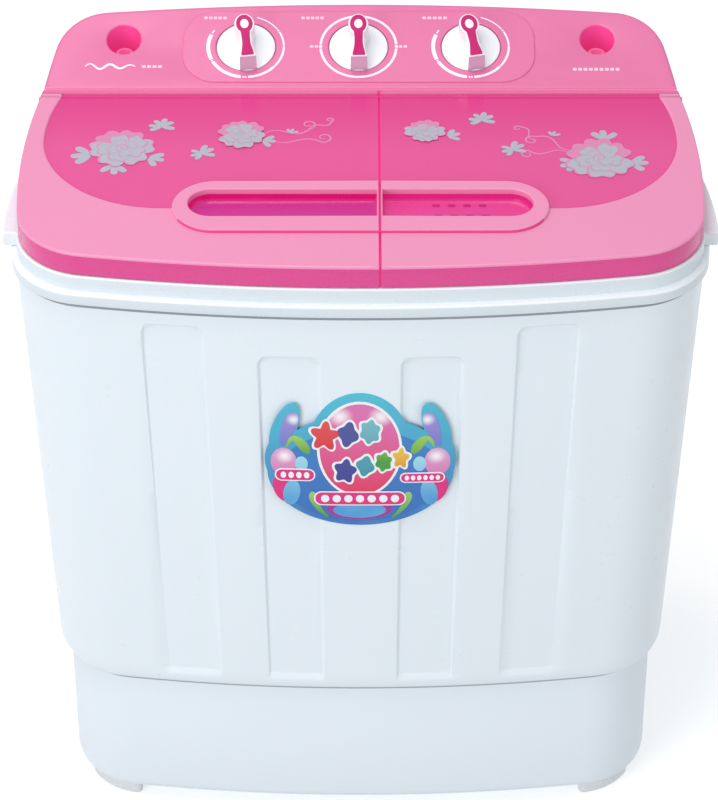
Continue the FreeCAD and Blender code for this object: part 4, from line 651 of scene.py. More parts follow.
TUCK = 17 * MM
WALL = 3 * MM
BAND_LOW = BAND_TOP - 11 * MM
GROOVE_LOW = BAND_LOW - 5.5 * MM
GROOVE_DEPTH = 3 * MM
LEDGE = 10 * MM
SEAM_PLAN = Plan(268.5 * MM, -168 * MM, 168 * MM)
LOW_PLAN = Plan(275.5 * MM, -172.5 * MM, 170 * MM)
TOP_PLAN = Plan(290.5 * MM, -177.5 * MM, 177 * MM)
BAND_PLAN = Plan(294 * MM, low("outer_shell").y, high("outer_shell").y)
FLUTE_HALF = 25 * MM
FLUTE_DEPTH = 2.8 * MM
FLUTE_CORNER = 9 * MM
FLUTE_SOFT = 1.6 * MM
FLUTES = [(side * x * MM, top * MM) for x, top in ((59.5, 534), (155, 562)) for side in (-1, 1)]
FLUTE_TAPER = 0.955
FLUTE_BACK = -100 * MM
FRONT_HALF = 231 * MM
FLUTE_LOW, FLUTE_FADE = SEAM + 12 * MM, 6 * MM


def body_plan(z):
    """The shell's plan at height z, rounding in at the bottom seam."""
    tuck_z = SEAM + TUCK
    if z < tuck_z:
        share = (tuck_z - z) / TUCK
        return mix_plans(LOW_PLAN, SEAM_PLAN, 1 - math.sqrt(max(0.0, 1 - share**2)))
    return mix_plans(LOW_PLAN, TOP_PLAN, (z - tuck_z) / (BAND_LOW - tuck_z))


def front_surface(x, z):
    """The y of the shell's bowed front, flutes left out."""
    plan = body_plan(z)
    return plan.front + FRONT_BOW - math.sqrt(FRONT_BOW**2 - x**2)


def flute_lean(z):
    """How far in the flutes have closed at height z, as a share of their x at the top."""
    return FLUTE_TAPER + (1 - FLUTE_TAPER) * clamp((z - SEAM) / (FLUTES[0][1] - SEAM))


def flute_depth(x, z):
    """How deep the pressed flutes are at x, z on the front."""
    depth = 0.0
    fade = smooth(clamp((z - FLUTE_LOW) / FLUTE_FADE))
    for centre, top in FLUTES:
        u = abs(x / flute_lean(z) - centre) - FLUTE_HALF + FLUTE_CORNER
        v = z - top + FLUTE_CORNER
        gap = math.hypot(max(u, 0.0), max(v, 0.0)) + min(max(u, v), 0.0) - FLUTE_CORNER
        depth = max(depth, FLUTE_DEPTH * fade * smooth(clamp(0.5 - gap / (2 * FLUTE_SOFT))))
    return depth


def flute_shares():
    """Shares along the front bow that put mesh lines along the flute edges."""
    reach = math.asin(FRONT_HALF / FRONT_BOW)
    stops = set(even_shares(64))
    for centre, _top in FLUTES:
        for edge in (centre - FLUTE_HALF, centre + FLUTE_HALF):
            for k in range(-4, 5):
                stops.add(0.5 + 0.5 * math.asin((edge + FLUTE_SOFT * k / 4) / FRONT_BOW) / reach)
    kept = [0.0]
    for stop in sorted(stops):
        if stop < 1 and stop - kept[-1] > 0.0004:
            kept.append(stop)
    return kept


def case_levels():
    """Heights of the shell's mesh rings, close together where the flutes end."""
    levels = [SEAM + near for near, _far in bend(TUCK, 8)]
    z = levels[-1]
    while z < GROOVE_LOW - 2 * MM:
        near = z < FLUTE_LOW + FLUTE_FADE or any(abs(z - top + 4 * MM) < 9 * MM for _c, top in FLUTES)
        z += 1 * MM if near else 8 * MM
        levels.append(min(z, GROOVE_LOW))
    return levels if levels[-1] == GROOVE_LOW else levels + [GROOVE_LOW]


def plan_ring(plan, inset, z, shares=None):
    return at_height(plan_outline(plan, inset, shares), z)


def build_case():
    shares = flute_shares()
    inner = [(2 * WALL, BAND_LOW), (2 * WALL, SEAM + TUCK), (WALL, SEAM), (0.8 * MM, SEAM)]
    rings = []
    for inset, z in inner + [(0, z) for z in case_levels()]:
        outline = plan_outline(body_plan(z), inset, shares)
        rings.append([(x, y + flute_depth(x, z) if y < FLUTE_BACK else y, z) for x, y in outline])
    rings += [plan_ring(body_plan(z), GROOVE_DEPTH, z, shares) for z in (GROOVE_LOW, BAND_LOW)]
    band = edge_profile(BAND_TOP, BAND_LOW, 2.2 * MM, 1.2 * MM)
    band += [(LEDGE, BAND_TOP), (LEDGE, BAND_LOW + WALL)]
    rings += [plan_ring(BAND_PLAN, inset, z, shares) for inset, z in band]
    bm = bmesh.new()
    add_rings(bm, rings + rings[:1])

    def finish(centre, normal):
        """The groove in painted shade, the band's top, its side in painted shade, and the wall, by their place in
        the list of finishes.
        """
        if GROOVE_LOW < centre.z < BAND_LOW + 0.1 * MM:
            return 3
        if centre.z > BAND_LOW:
            return 1 if normal.z > 0.35 else 2
        return 0

    paint(bm, finish)
    finishes = [WHITE, RIM_WHITE, SIDE_PAINTED_SHADE, SEAM_PAINTED_SHADE]
    make_piece("case_shell", bm, finishes, "root", replaces="outer_shell")


# ---------------- base, feet and deck

BASE_PLAN = Plan(266 * MM, low("base_tray").y, high("base_tray").y)
BASE_LOW, BASE_EDGE = low("base_tray").z, 12 * MM
DECK_PLAN = Plan(289.5 * MM, low("twin_tub").y - 1 * MM, high("twin_tub").y)
DECK_TOP = high("twin_tub").z
TUB_FLOOR = low("twin_tub").z + 2.5 * MM
TUB_Y = -36 * MM
WASH_X, SPIN_X = -127 * MM, 141 * MM


def build_base():
    """The tray, up its outside to a groove at the seam, then over its tongue and down inside."""
    tongue, groove = 4.3 * MM, SEAM - 4 * MM
    pairs = [(BASE_EDGE + 1 * MM, BASE_LOW)]
    pairs += [(far, BASE_LOW + near) for near, far in bend(BASE_EDGE, 8)]
    pairs += [(0, groove - 1 * MM), (0.4 * MM, groove - 0.2 * MM), (1.2 * MM, groove)]
    pairs += [(tongue - 0.3 * MM, groove), (tongue - 0.3 * MM, SEAM), (tongue, SEAM)]
    pairs += [(tongue, SEAM + BASE_EDGE), (tongue + WALL, SEAM + BASE_EDGE), (tongue + WALL, BASE_LOW + WALL)]
    bm = bmesh.new()
    add_solid(bm, [plan_ring(BASE_PLAN, inset, z) for inset, z in pairs])
    # Faces in the groove at the seam get painted shade.
    paint(bm, lambda centre, normal: 1 if centre.z > groove - 0.1 * MM else 0)
    make_piece("base_tray_shell", bm, [BASE_WHITE, BASE_PAINTED_SHADE], "root", replaces="base_tray")


def walk(vectors, start, step, reach):
    """Goes reach along an outline from one point; returns the place and the points passed."""
    count, k, walked, passed = len(vectors), start, 0.0, []
    while True:
        after = (k + step) % count
        gap = (vectors[after] - vectors[k]).length
        if walked + gap >= reach:
            return vectors[k].lerp(vectors[after], (reach - walked) / gap), passed
        walked += gap
        k = after
        passed.append(k)


def soften(points, reach, steps=6, sharp=25):
    """Rounds the sharp corners of a closed outline, starting reach away from each."""
    vectors = [Vector(p) for p in points]
    rounds, dropped = {}, set()
    for i, here in enumerate(vectors):
        first, second = here - vectors[i - 1], vectors[(i + 1) % len(vectors)] - here
        if min(first.length, second.length) > 1e-9 and first.angle(second) > math.radians(sharp):
            start, before = walk(vectors, i, -1, reach)
            end, after = walk(vectors, i, 1, reach)
            dropped.update(before + after)
            rounds[i] = [tuple(curve_point(start, here, end, s / steps)) for s in range(steps + 1)]
    result = []
    for i, point in enumerate(points):
        result += rounds.get(i, [] if i in dropped else [point])
    return result


def build_feet():
    bm = bmesh.new()
    sole = plan_outline(BASE_PLAN, 8 * MM)
    length, half = 64 * MM, 19 * MM
    for side in (-1, 1):
        for middle in (-130 * MM, 136 * MM):
            block = clip(sole, lambda x, y: side * x - (BASE_PLAN.half - length))
            block = clip(block, lambda x, y: y - middle + half)
            block = clip(block, lambda x, y: middle + half - y)
            add_slab(bm, soften(block, 7 * MM), [], 0, BASE_LOW + 2 * MM, 0, 3 * MM)
    make_piece("corner_feet", bm, FOOT_GREY, "root", replaces="feet")


def rounded_box(x, y, half_x, half_y, corner, steps=14):
    points = []
    for sx, sy, start in ((1, -1, -90), (1, 1, 0), (-1, 1, 90), (-1, -1, 180)):
        centre_x, centre_y = x + sx * (half_x - corner), y + sy * (half_y - corner)
        points += arc(centre_x, centre_y, corner, start, start + 90, steps)
    return points


def tub_share(z):
    """How far up the tubs a height lies, from their floors to the deck."""
    return (z - TUB_FLOOR) / (DECK_TOP - TUB_FLOOR)


def wash_outline(z, grow=0.0):
    half_x, half_y = (118 + 16 * tub_share(z)) * MM, (101 + 12 * tub_share(z)) * MM
    return rounded_box(WASH_X, TUB_Y, half_x + grow, half_y + grow, 56 * MM + grow)


def spin_outline(z, grow=0.0):
    return circle(SPIN_X, TUB_Y, (106 + 6 * tub_share(z)) * MM + grow, 96)


def build_deck():
    """The tub moulding: its stepped rim, its deck and both tubs."""
    bm = bmesh.new()
    wall, rim, floor_round, edge = 2.5 * MM, 4 * MM, 16 * MM, 1.6 * MM
    under = DECK_TOP - 3 * MM
    pairs = [(wall, under), (wall, BAND_TOP), (0, BAND_TOP)]
    pairs += [(near, DECK_TOP - far) for near, far in bend(edge, 5)]
    pairs.append((edge + 0.6 * MM, DECK_TOP))
    outer = add_rings(bm, [plan_ring(DECK_PLAN, inset, z) for inset, z in pairs])
    tops, lows = [outer[-1]], [outer[0]]
    side_top, side_low = DECK_TOP - rim, TUB_FLOOR + floor_round
    for outline in (wash_outline, spin_outline):
        inside = [(far, DECK_TOP - near) for near, far in bend(rim, 6)]
        inside += [(0, side_top + (side_low - side_top) * k / 8) for k in range(1, 9)]
        inside += [(-near, TUB_FLOOR + far) for near, far in bend(floor_round, 7)[1:]]
        add_pocket(bm, [at_height(outline(z, grow), z) for grow, z in inside], tops)
        add_pocket(bm, [at_height(outline(z, wall), z) for z in (under, TUB_FLOOR - wall)], lows)
    fill(bm, tops)
    fill(bm, lows)
    # The deck's outer wall gets painted shade: the darker copy of its white.
    mark(outer[2:4], 1)
    make_piece("tub_moulding", bm, [RIM_WHITE, SIDE_PAINTED_SHADE], "root", replaces="twin_tub")


def build_side_grips():
    widest, bow, front, back = -86 * MM, 369 * MM, -96 * MM, 16 * MM
    root = DECK_PLAN.half - 7 * MM
    middle = high("right_side_grip").x - bow
    ends = [math.degrees(math.asin((y - widest) / bow)) for y in (front, back)]
    outline = arc(middle, widest, bow, *ends, 40) + [(root, back), (root, front)]
    for side, name in ((-1, "left_side_grip"), (1, "right_side_grip")):
        points = soften([(side * x, y) for x, y in outline], 3 * MM)
        levels = BAND_TOP + 0.4 * MM, DECK_TOP - 0.2 * MM, 2 * MM, 1.2 * MM
        slab(name + "_moulding", GRIP_WHITE, "root", points, [], *levels, replaces=name)


# ---------------- lids

LID_PLAN = Plan(287.5 * MM, low("wash_lid").y, 177 * MM)
GAP = 1.0 * MM
RAIL = 1.3 * MM
WINDOW_HALF, WINDOW_CORNER, WINDOW_SIDE = 270 * MM, 105 * MM, 200 * MM
WINDOW_LOW = -90 * MM
GRIP_Y, GRIP_LENGTH, GRIP_DEPTH = -90.5 * MM, 156.5 * MM, 36.2 * MM
TRAY_Y, TRAY_LENGTH, TRAY_DEPTH = -86.1 * MM, 143.5 * MM, 19.3 * MM
TRAY_FLOOR = 616 * MM
SIDES = ((-1, "wash_lid"), (1, "spin_lid"))


def split_edge(side, trim=0.0):
    """The x of one lid's edge along the split, mirrored so that both lids read as right-hand ones."""
    return side * SPLIT + GAP + trim


def to_side(points, side):
    return points if side > 0 else [(-x, y) for x, y in reversed(points)]


def lid_outline(side, back_y):
    """One lid's plan as a right-hand outline."""
    points = clip(plan_outline(LID_PLAN), lambda x, y: x - split_edge(side))
    return clip(points, lambda x, y: back_y - y)


def window_outline(side, trim, inset, grow, above, back_y):
    """The window on one side, as a right-hand outline whose front line passes round the grip tray."""
    edge = split_edge(side, trim)
    depth = TRAY_DEPTH + grow
    meet = math.degrees(math.asin((WINDOW_LOW + inset - TRAY_Y) / depth))
    points = [(edge, TRAY_Y + depth * above)]
    points += arc(TRAY_LENGTH - TRAY_DEPTH, TRAY_Y, depth, 90 * above, meet, 16)
    corner_y = WINDOW_LOW + WINDOW_CORNER
    points += arc(WINDOW_HALF - WINDOW_CORNER, corner_y, WINDOW_CORNER - inset, -90, 0, 30)[:-1]
    radius = WINDOW_SIDE - inset
    rise = math.degrees(math.asin((back_y - corner_y) / radius))
    return points + arc(WINDOW_HALF - WINDOW_SIDE, corner_y, radius, 0, rise, 12) + [(edge, back_y)]


def frame_outline(side, trim, inset, back_y):
    """A lid's plan in front of and outside its window, as a right-hand outline."""
    outer = lid_outline(side, back_y)
    edge, front_y = split_edge(side), LID_PLAN.front
    start = min(range(len(outer)), key=lambda i: abs(outer[i][0] - edge) + abs(outer[i][1] - front_y))
    outer = outer[start:] + outer[:start]
    window = window_outline(side, trim, inset, 0, -1, back_y)
    return outer[:-1] + window[-2::-1]


def half_oval(side, trim, y, length, depth, steps):
    """A shape round the split, straight-sided with a round end, as a right-hand outline of one half."""
    edge = split_edge(side, trim)
    return [(edge, y - depth)] + arc(length, y, depth, -90, 90, steps) + [(edge, y + depth)]


def tray_outline(side):
    """The grip tray's plan on one side."""
    return to_side(half_oval(side, RAIL, TRAY_Y, TRAY_LENGTH - TRAY_DEPTH, TRAY_DEPTH, 32), side)


def build_lids():
    plate, thin = BEZEL_LOW - 3 * MM, 0.1 * MM
    for side, body in SIDES:
        outline = to_side(lid_outline(side, HINGE_Y), side)
        skirt = outline, [moved_in(outline, 2.5 * MM)], LID_LOW, plate + 0.2 * MM, 0, 0.5 * MM
        slab(body + "_skirt", SKIRT_PINK, body, *skirt, replaces=body)
        flange = to_side(frame_outline(side, thin, 0.5 * MM, HINGE_Y), side)
        slab(body + "_flange", SKIRT_PINK, body, flange, [], plate, BEZEL_LOW, 0.15 * MM, thin)
        pane = to_side(window_outline(side, thin, -0.2 * MM, 3 * MM, 1, HINGE_Y - thin), side)
        slab(body + "_window", WINDOW_PINK, body, pane, [], plate, PANE_TOP, thin, thin)
        build_tray(side, body)
        build_barrel(side, body)
        build_lap(side, body)
        build_hinge_cover(side, body)


def build_lap(side, body):
    """The lip that closes the split between the lids, lower under the windows than in front."""
    bm = bmesh.new()
    half = (GAP + 0.5 * MM) / 2
    middle = split_edge(side) - (GAP - 0.08 * MM) + half
    grip_y, window_y = GRIP_Y - GRIP_DEPTH, GRIP_Y + GRIP_DEPTH - 1 * MM
    parts = (
        (LID_PLAN.front + 0.8 * MM, grip_y, LID_LOW + 0.4 * MM, LID_TOP - 0.5 * MM),
        (grip_y + 0.1 * MM, window_y, LID_LOW + 8 * MM, LID_TOP + 1.8 * MM),
        (window_y + 0.1 * MM, HINGE_Y - 0.6 * MM, LID_LOW + 8 * MM, PANE_TOP - 0.15 * MM),
        (HINGE_Y - 0.5 * MM, HINGE_Y + 4.6 * MM, PANE_TOP - 0.05 * MM, PANE_TOP + 0.3 * MM),
        (HINGE_Y + 4.8 * MM, HINGE_Y + 9 * MM, HINGE_Z + 6.8 * MM, LID_TOP - 0.4 * MM),
    )
    for start, end, low_z, top_z in parts:
        box = rounded_box(middle, (start + end) / 2, half, (end - start) / 2, 0.2 * MM, 3)
        add_slab(bm, to_side(box, side), [], low_z, top_z, 0.1 * MM, 0.1 * MM)
    make_piece(body + "_lap", bm, SEAM_PINK, body)


def build_hinge_cover(side, body):
    """The strips behind the window that cover the hinge barrel: clear, then bezel and panel coloured."""
    middle, back = HINGE_Y + 4.7 * MM, HINGE_Y + 9.5 * MM
    window_end = window_outline(side, 0, 0, 0, 1, HINGE_Y)[-2][0]
    low_z, pane_z = PANE_TOP + 0.05 * MM, PANE_TOP + 0.4 * MM
    strips = (
        ("_hinge_cover", PANEL_PINK, middle, back, lambda x, y: 1, LID_TOP),
        ("_hinge_side", BEZEL_PINK, HINGE_Y, middle, lambda x, y: x - window_end, LID_TOP),
        ("_hinge_pane", WINDOW_PINK, HINGE_Y - 0.4 * MM, middle, lambda x, y: window_end - x, pane_z),
    )
    for name, material, start, end, keep, top in strips:
        points = clip(clip(lid_outline(side, end), lambda x, y: y - start), keep)
        strip = to_side(soften(points, 0.4 * MM, 4), side)
        thick = top - low_z
        slab(body + name, material, body, strip, [], low_z, top, thick * 0.3, thick * 0.1)


def build_tray(side, body):
    """The tinted tray the fingers reach into, between the two lids' split and the round end."""
    wall, top = 2 * MM, BEZEL_LOW - 0.1 * MM
    pairs = [(-wall, TRAY_FLOOR - wall), (-wall, top), (0, top)]
    pairs += [(near, TRAY_FLOOR + far) for near, far in bend(5 * MM, 6)]
    bm = bmesh.new()
    add_solid(bm, level_rings(tray_outline(side), pairs))
    # Floor and walls get their own painted light and shade copies of the tray pink.
    paint(bm, lambda centre, normal: 0 if centre.z < TRAY_FLOOR + 1.5 * MM else 1)
    pinks = [SPIN_FLOOR_PAINTED_LIGHT, SPIN_WALL_PAINTED_LIGHT] if side > 0 else [WASH_FLOOR_PAINTED_LIGHT, WASH_WALL_PAINTED_LIGHT]
    make_piece(body + "_tray", bm, pinks, body)


def build_barrel(side, body):
    """The hinge barrel, in lengths between the hinge blocks."""
    bm = bmesh.new()
    chamfer, clear = 0.5 * MM, 4.5 * MM
    stops = [side * split_edge(side), side * (LID_PLAN.half - 8 * MM)]
    for x in (250 * side * MM, (42 if side > 0 else -10) * MM):
        stops += [x - clear, x + clear]
    stops.sort()
    for start, end in zip(stops[::2], stops[1::2]):
        length = end - start
        profile = [(0, 0), (BARREL - chamfer, 0), (BARREL, chamfer)]
        profile += [(BARREL, length - chamfer), (BARREL - chamfer, length), (0, length)]
        place = Matrix.Translation((start, HINGE_Y, HINGE_Z)) @ Matrix.Rotation(math.pi / 2, 4, "Y")
        add_lathe(bm, profile, 40, place)
    make_piece(body + "_barrel", bm, SKIRT_PINK, body)


def build_bezels():
    for side, body in SIDES:
        split_x = side * split_edge(side)

        def ease(x, _y):
            """The edge along the split is rounded less than the others."""
            return 0.25 if abs(x - split_x) < 4 * MM else 1

        outline = to_side(frame_outline(side, 0, 0, HINGE_Y - 0.1 * MM), side)
        levels = BEZEL_LOW, LID_TOP, 1.6 * MM, 0.3 * MM
        slab(
            body + "_frame", BEZEL_PINK, body, outline, [], *levels, ease=ease, replaces=body + "_bezel"
        )
        oval = to_side(half_oval(side, 0, GRIP_Y, GRIP_LENGTH - GRIP_DEPTH, GRIP_DEPTH, 40), side)
        levels = BEZEL_LOW + 0.05 * MM, LID_TOP + 2.8 * MM, 1.2 * MM, 0.2 * MM
        bm = bmesh.new()
        add_slab(bm, oval, [tray_outline(side)], *levels, ease=ease)
        front = GRIP_Y - TRAY_DEPTH
        # The raised side at the surround's front is painted in shade.
        paint(bm, lambda centre, normal: 1 if centre.y < front and normal.z < 0.75 else 0)
        make_piece(body + "_grip_surround", bm, [BEZEL_PINK, EDGE_PAINTED_SHADE], body)


# ---------------- console

CONSOLE_FRONT = 88.6 * MM
FACE_Y = 91.4 * MM

CONSOLE_EDGE = 4 * MM
KNOB_Y = KNOBS["drain_selector_knob"].y
WELL_RADIUS = 26.4 * MM
INLETS = ((-208 * MM, 139 * MM), (208 * MM, 139 * MM))
INLET_RADIUS = 15 * MM
INLET_FLOOR = 614 * MM
SPIGOT_TOP = 633 * MM
PAD_TOP = 1.2 * MM
PANEL_LOW_Y, PANEL_LOW_Z = 84 * MM, 626 * MM


def panel_z(y):
    return PANEL_LOW_Z + (y - PANEL_LOW_Y) * math.tan(PANEL_TILT)


def on_panel(x, y, height=0.0, turn=0.0):
    """The matrix that stands something built about its own origin on the sloping panel."""
    foot = Vector((x, y, panel_z(y))) + PANEL_AXIS * height
    return Matrix.Translation(foot) @ Matrix.Rotation(PANEL_TILT, 4, "X") @ Matrix.Rotation(turn, 4, "Z")


def panel_circle(x, y, radius, depth):
    """A circle square to the panel, depth below it, as 3-D points."""
    place = on_panel(x, y, -depth)
    return [place @ Vector((u, v, 0)) for u, v in circle(0, 0, radius, 72)]


def build_console():
    bm = bmesh.new()
    outline = clip(plan_outline(LID_PLAN, 0, None, 1.6), lambda x, y: y - CONSOLE_FRONT)
    outline = soften(outline, 3 * MM, 5)
    walls = level_rings(outline, ((0.6 * MM, DECK_TOP), (0, DECK_TOP + 0.8 * MM), (0, HINGE_Z + 4 * MM)))
    rings = [[(x, max(y, FACE_Y), z) for x, y, z in ring] for ring in walls]

    def ease(_x, y):
        """The front edge is rounded less than the sides and the back."""
        return 0.3 if y < CONSOLE_FRONT + 0.5 * MM else 1

    for inset, drop in bend(CONSOLE_EDGE, 8) + [(CONSOLE_EDGE + 0.6 * MM, 0)]:
        moved = moved_in(outline, inset, ease)
        rings.append([(x, y, panel_z(y) - drop * ease(*start)) for (x, y), start in zip(moved, outline)])
    stack = add_rings(bm, rings)
    fill(bm, [stack[0]])
    tops = [stack[-1]]
    for centre in KNOBS.values():
        levels = ((0.5, 0), (0.15, 0.12), (0, 0.5), (0, 1.6))
        well = [panel_circle(centre.x, KNOB_Y, WELL_RADIUS + g * MM, d * MM) for g, d in levels]
        add_pocket(bm, well, tops)
    for x, y in INLETS:
        cup = []
        for grow, drop in ((1.5, 0), (0.75, 0.2), (0.2, 0.75), (0, 1.5)):
            ring = circle(x, y, INLET_RADIUS + grow * MM)
            cup.append([(u, v, panel_z(v) - drop * MM) for u, v in ring])
        cup.append(at_height(circle(x, y, INLET_RADIUS), INLET_FLOOR + 2 * MM))
        cup.append(at_height(circle(x, y, INLET_RADIUS - 2 * MM), INLET_FLOOR))
        # The cups' lower walls and floor get the deeper pink with its painted glow.
        mark(add_pocket(bm, cup, tops)[3:], 1)
    fill(bm, tops)
    # The console's front face, down in the valley behind the lids, gets the painted light.
    lip_top = panel_z(CONSOLE_FRONT) - 1 * MM
    for face in bm.faces:
        centre = face.calc_center_median()
        if centre.y < FACE_Y - 0.5 * MM and HINGE_Z < centre.z < lip_top:
            face.material_index = 2
    make_piece("console_panel", bm, [PANEL_PINK, CUP_PINK, LIP_PAINTED_LIGHT], "root", replaces="console")
    build_knob_pad()
    build_spigots()


def build_knob_pad():
    """The raised pad the knobs' wells are cut through."""
    half, front, depth, corner = 154.5 * MM, 92 * MM - KNOB_Y, 78 * MM, 30 * MM
    pad = rounded_box(-1.5 * MM, front + depth / 2, half, depth / 2, corner)
    wells = [circle(c.x, 0, WELL_RADIUS, 72) for c in KNOBS.values()]
    levels = -0.4 * MM, PAD_TOP, 1.1 * MM, 0
    slab("knob_pad", PANEL_PINK, "root", pad, wells, *levels, place=on_panel(0, KNOB_Y))


def build_spigots():
    bm = bmesh.new()
    top = (SPIGOT_TOP - DECK_TOP) / MM
    profile = [(4.6, 2), (4.6, top - 1), (5.2, top), (7, top), (7.5, top - 0.6)]
    profile += [(7.5, top - 5), (7.2, top - 5.5), (7.2, 10), (7, 2), (4.6, 2)]
    for x, y in INLETS:
        add_rings(bm, [at_height(circle(x, y, r * MM, 48), DECK_TOP + z * MM) for r, z in profile])
        plug = circle(0, 0, 4.65 * MM, 32)
        add_slab(bm, plug, [], 2 * MM, 12 * MM, place=Matrix.Translation((x, y, DECK_TOP)))
    make_piece("inlet_spigot_pair", bm, SPIGOT_PINK, "root", replaces="inlet_spigots")


# ---------------- knobs

KNOB_LEANS = {"wash_timer_knob": 6, "drain_selector_knob": 1, "spin_timer_knob": 10}
DISC_LOW, DISC_RADIUS = -1.4 * MM, 25.7 * MM
GRIP_LOW, GRIP_HEIGHT = DISC_LOW + 2.4 * MM, 19 * MM
LOOP_Y, LOOP_HALF, LOOP_LONG = 10.8 * MM, 8.8 * MM, 11.2 * MM


def grip_outline(inset):
    """The pointer grip's plan: a flared foot, a waist and an oval loop, moved in by inset."""
    half, tall = LOOP_HALF - inset, LOOP_LONG - inset
    foot, waist = 7.1 * MM - inset, 5.1 * MM - inset
    foot_y, waist_y = -25 * MM + inset, -8.5 * MM
    join = math.radians(-56)
    join_x, join_y = half * math.cos(join), LOOP_Y + tall * math.sin(join)
    right = []
    for t in even_shares(14, 1):
        right.append((foot + (waist - foot) * smooth(t) ** 0.8, foot_y + (waist_y - foot_y) * t))
    for t in even_shares(10)[1:]:
        right.append((waist + (join_x - waist) * t**2, waist_y + (join_y - waist_y) * t))
    for a in [join + (math.pi / 2 - join) * t for t in even_shares(20)]:
        right.append((half * math.cos(a), LOOP_Y + tall * math.sin(a)))
    return right + [(0, LOOP_Y + tall)] + [(-x, y) for x, y in reversed(right)]


def flare(v):
    """Widens a knob's grip towards its foot."""
    return Vector((v.x * (1 + 0.05 * (1 - (v.z - GRIP_LOW) / GRIP_HEIGHT)), v.y, v.z))


def build_knobs():
    grip_top = GRIP_LOW + GRIP_HEIGHT
    r, bite, spindle = DISC_RADIUS, 0.2 * MM, 3 * MM
    disc = [(0, DISC_LOW), (r - 0.4 * MM, DISC_LOW), (r, DISC_LOW + 0.4 * MM)]
    disc += [(r - near, GRIP_LOW - far) for near, far in bend(1.1 * MM, 6)]
    disc += [(r - 1.6 * MM, GRIP_LOW), (r - 6 * MM, GRIP_LOW + 0.02 * MM), (0, GRIP_LOW + 0.25 * MM)]
    shaft = [(0, -30 * MM), (spindle, -30 * MM), (spindle, DISC_LOW + bite), (0, DISC_LOW + bite)]
    dot = ellipse(0, LOOP_Y, 3.7 * MM, 5.2 * MM, 40)
    for body, centre in KNOBS.items():
        place = on_panel(centre.x, KNOB_Y, 0, math.radians(KNOB_LEANS[body]))
        bm = bmesh.new()
        add_lathe(bm, disc, 96, place)
        add_lathe(bm, shaft, 24, place)
        levels = GRIP_LOW - 0.5 * MM, grip_top, 0.9 * MM, 0
        add_slab(bm, grip_outline(0), [], *levels, place=place, lift=flare)
        to_knob = place.inverted()

        def finish(spot, _normal):
            """Paints shade and the pink panel's reflection on the front end of the grip."""
            own = to_knob @ spot
            return 1 if own.y < -24.5 * MM and own.z > GRIP_LOW else 0

        paint(bm, finish)
        make_piece(body + "_cap", bm, [KNOB_WHITE, KNOB_SHADE], body, 40, replaces=body)
        inlay = grip_outline(1.55 * MM), [dot], grip_top - 0.1 * MM, grip_top + 0.6 * MM, 0.25 * MM
        slab(body + "_pointer", INLAY_PINK, body, *inlay, place=place, replaces=body + "_inlay")


# ---------------- printed marks on the panel


SCALE_RADIUS = 33.2 * MM
PANEL_PRINT_LOW = -0.1 * MM


def add_print(bm, outline, low_z=1.1 * MM, thick=0.16 * MM):
    """A thin printed shape, in or on the pad round the knobs."""
    add_slab(bm, outline, [], low_z, low_z + thick, place=on_panel(0, KNOB_Y))


def add_band(bm, centre_x, radius, width, start, end):
    """A thin arc of print, from angle start to end in degrees."""
    steps = max(6, int(abs(end - start) / 4))
    outer = arc(centre_x, 0, radius + width / 2, start, end, steps)
    add_print(bm, outer + arc(centre_x, 0, radius - width / 2, end, start, steps))


def add_dashes(bm, start, end, y, height, count, low_z=1.1 * MM):
    """A row of plain rounded dashes standing in for small captions, all in millimetres but low_z."""
    pitch = (end - start) / count * MM
    height *= MM
    for k in range(count):
        x = start * MM + pitch * (k + 0.5)
        add_print(bm, rounded_box(x, y * MM, pitch * 0.38, height / 2, height * 0.35, 4), low_z)


def build_dial_prints():
    """The scale round each knob, the captions over the knobs and the marks at the panel's corners."""
    bm, soft = bmesh.new(), bmesh.new()
    timer_arcs = ((157, 205, 3.4), (210, 263, 3.0), (274, 318, 2.4))
    timer_arcs += ((322, 359, 1.9), (3, 29, 1.6), (35, 74, 1.1))
    timer_dots = (149, 152.5, 207.5, 267, 270.5, 320, 1, 32)
    drain_arcs = ((4, 176, 2.2), (184, 356, 2.2))
    scales = {
        "wash_timer_knob": (timer_arcs, timer_dots, 0.9),
        "spin_timer_knob": (timer_arcs, timer_dots, 0.9),
        "drain_selector_knob": (drain_arcs, (180, 0), 1.5),
    }
    for body, (arcs, dots, dot_radius) in scales.items():
        x = KNOBS[body].x
        for start, end, width in arcs:
            add_band(bm, x, SCALE_RADIUS, width * MM, start, end)
        for angle in dots:
            dot_x, dot_y = arc(x, 0, SCALE_RADIUS, angle, angle, 1)[0]
            add_print(bm, circle(dot_x, dot_y, dot_radius * MM, 16))
    x = KNOBS["drain_selector_knob"].x / MM
    for middle in (x - 39, x + 39):
        add_dashes(soft, middle - 4.2, middle + 4.2, 0, 2.8, 2)
    captions = {"wash_timer_knob": (-38, -17), "drain_selector_knob": (-51, -30)}
    captions["spin_timer_knob"] = (-43, -20)
    for body, (start, end) in captions.items():
        x = KNOBS[body].x / MM
        add_dashes(soft, x + start, x + end, 31.5, 3, 5)
    add_dashes(soft, 185, 227, -24, 3.2, 9, PANEL_PRINT_LOW)
    wave = []
    for t in even_shares(60, 1):
        wave.append(((-241 + 44 * t) * MM, (-21 + 3.2 * math.sin(t * 5 * math.pi) * (1 - 0.5 * t)) * MM))
    add_print(bm, ribbon(wave, 2.2 * MM), PANEL_PRINT_LOW, 0.2 * MM)
    add_dashes(soft, -192, -173, -21, 3, 4, PANEL_PRINT_LOW)
    make_piece("dial_prints", bm, PRINT_WHITE, "root")
    make_piece("dial_captions", soft, PRINT_SOFT, "root")


# ---------------- prints on the windows


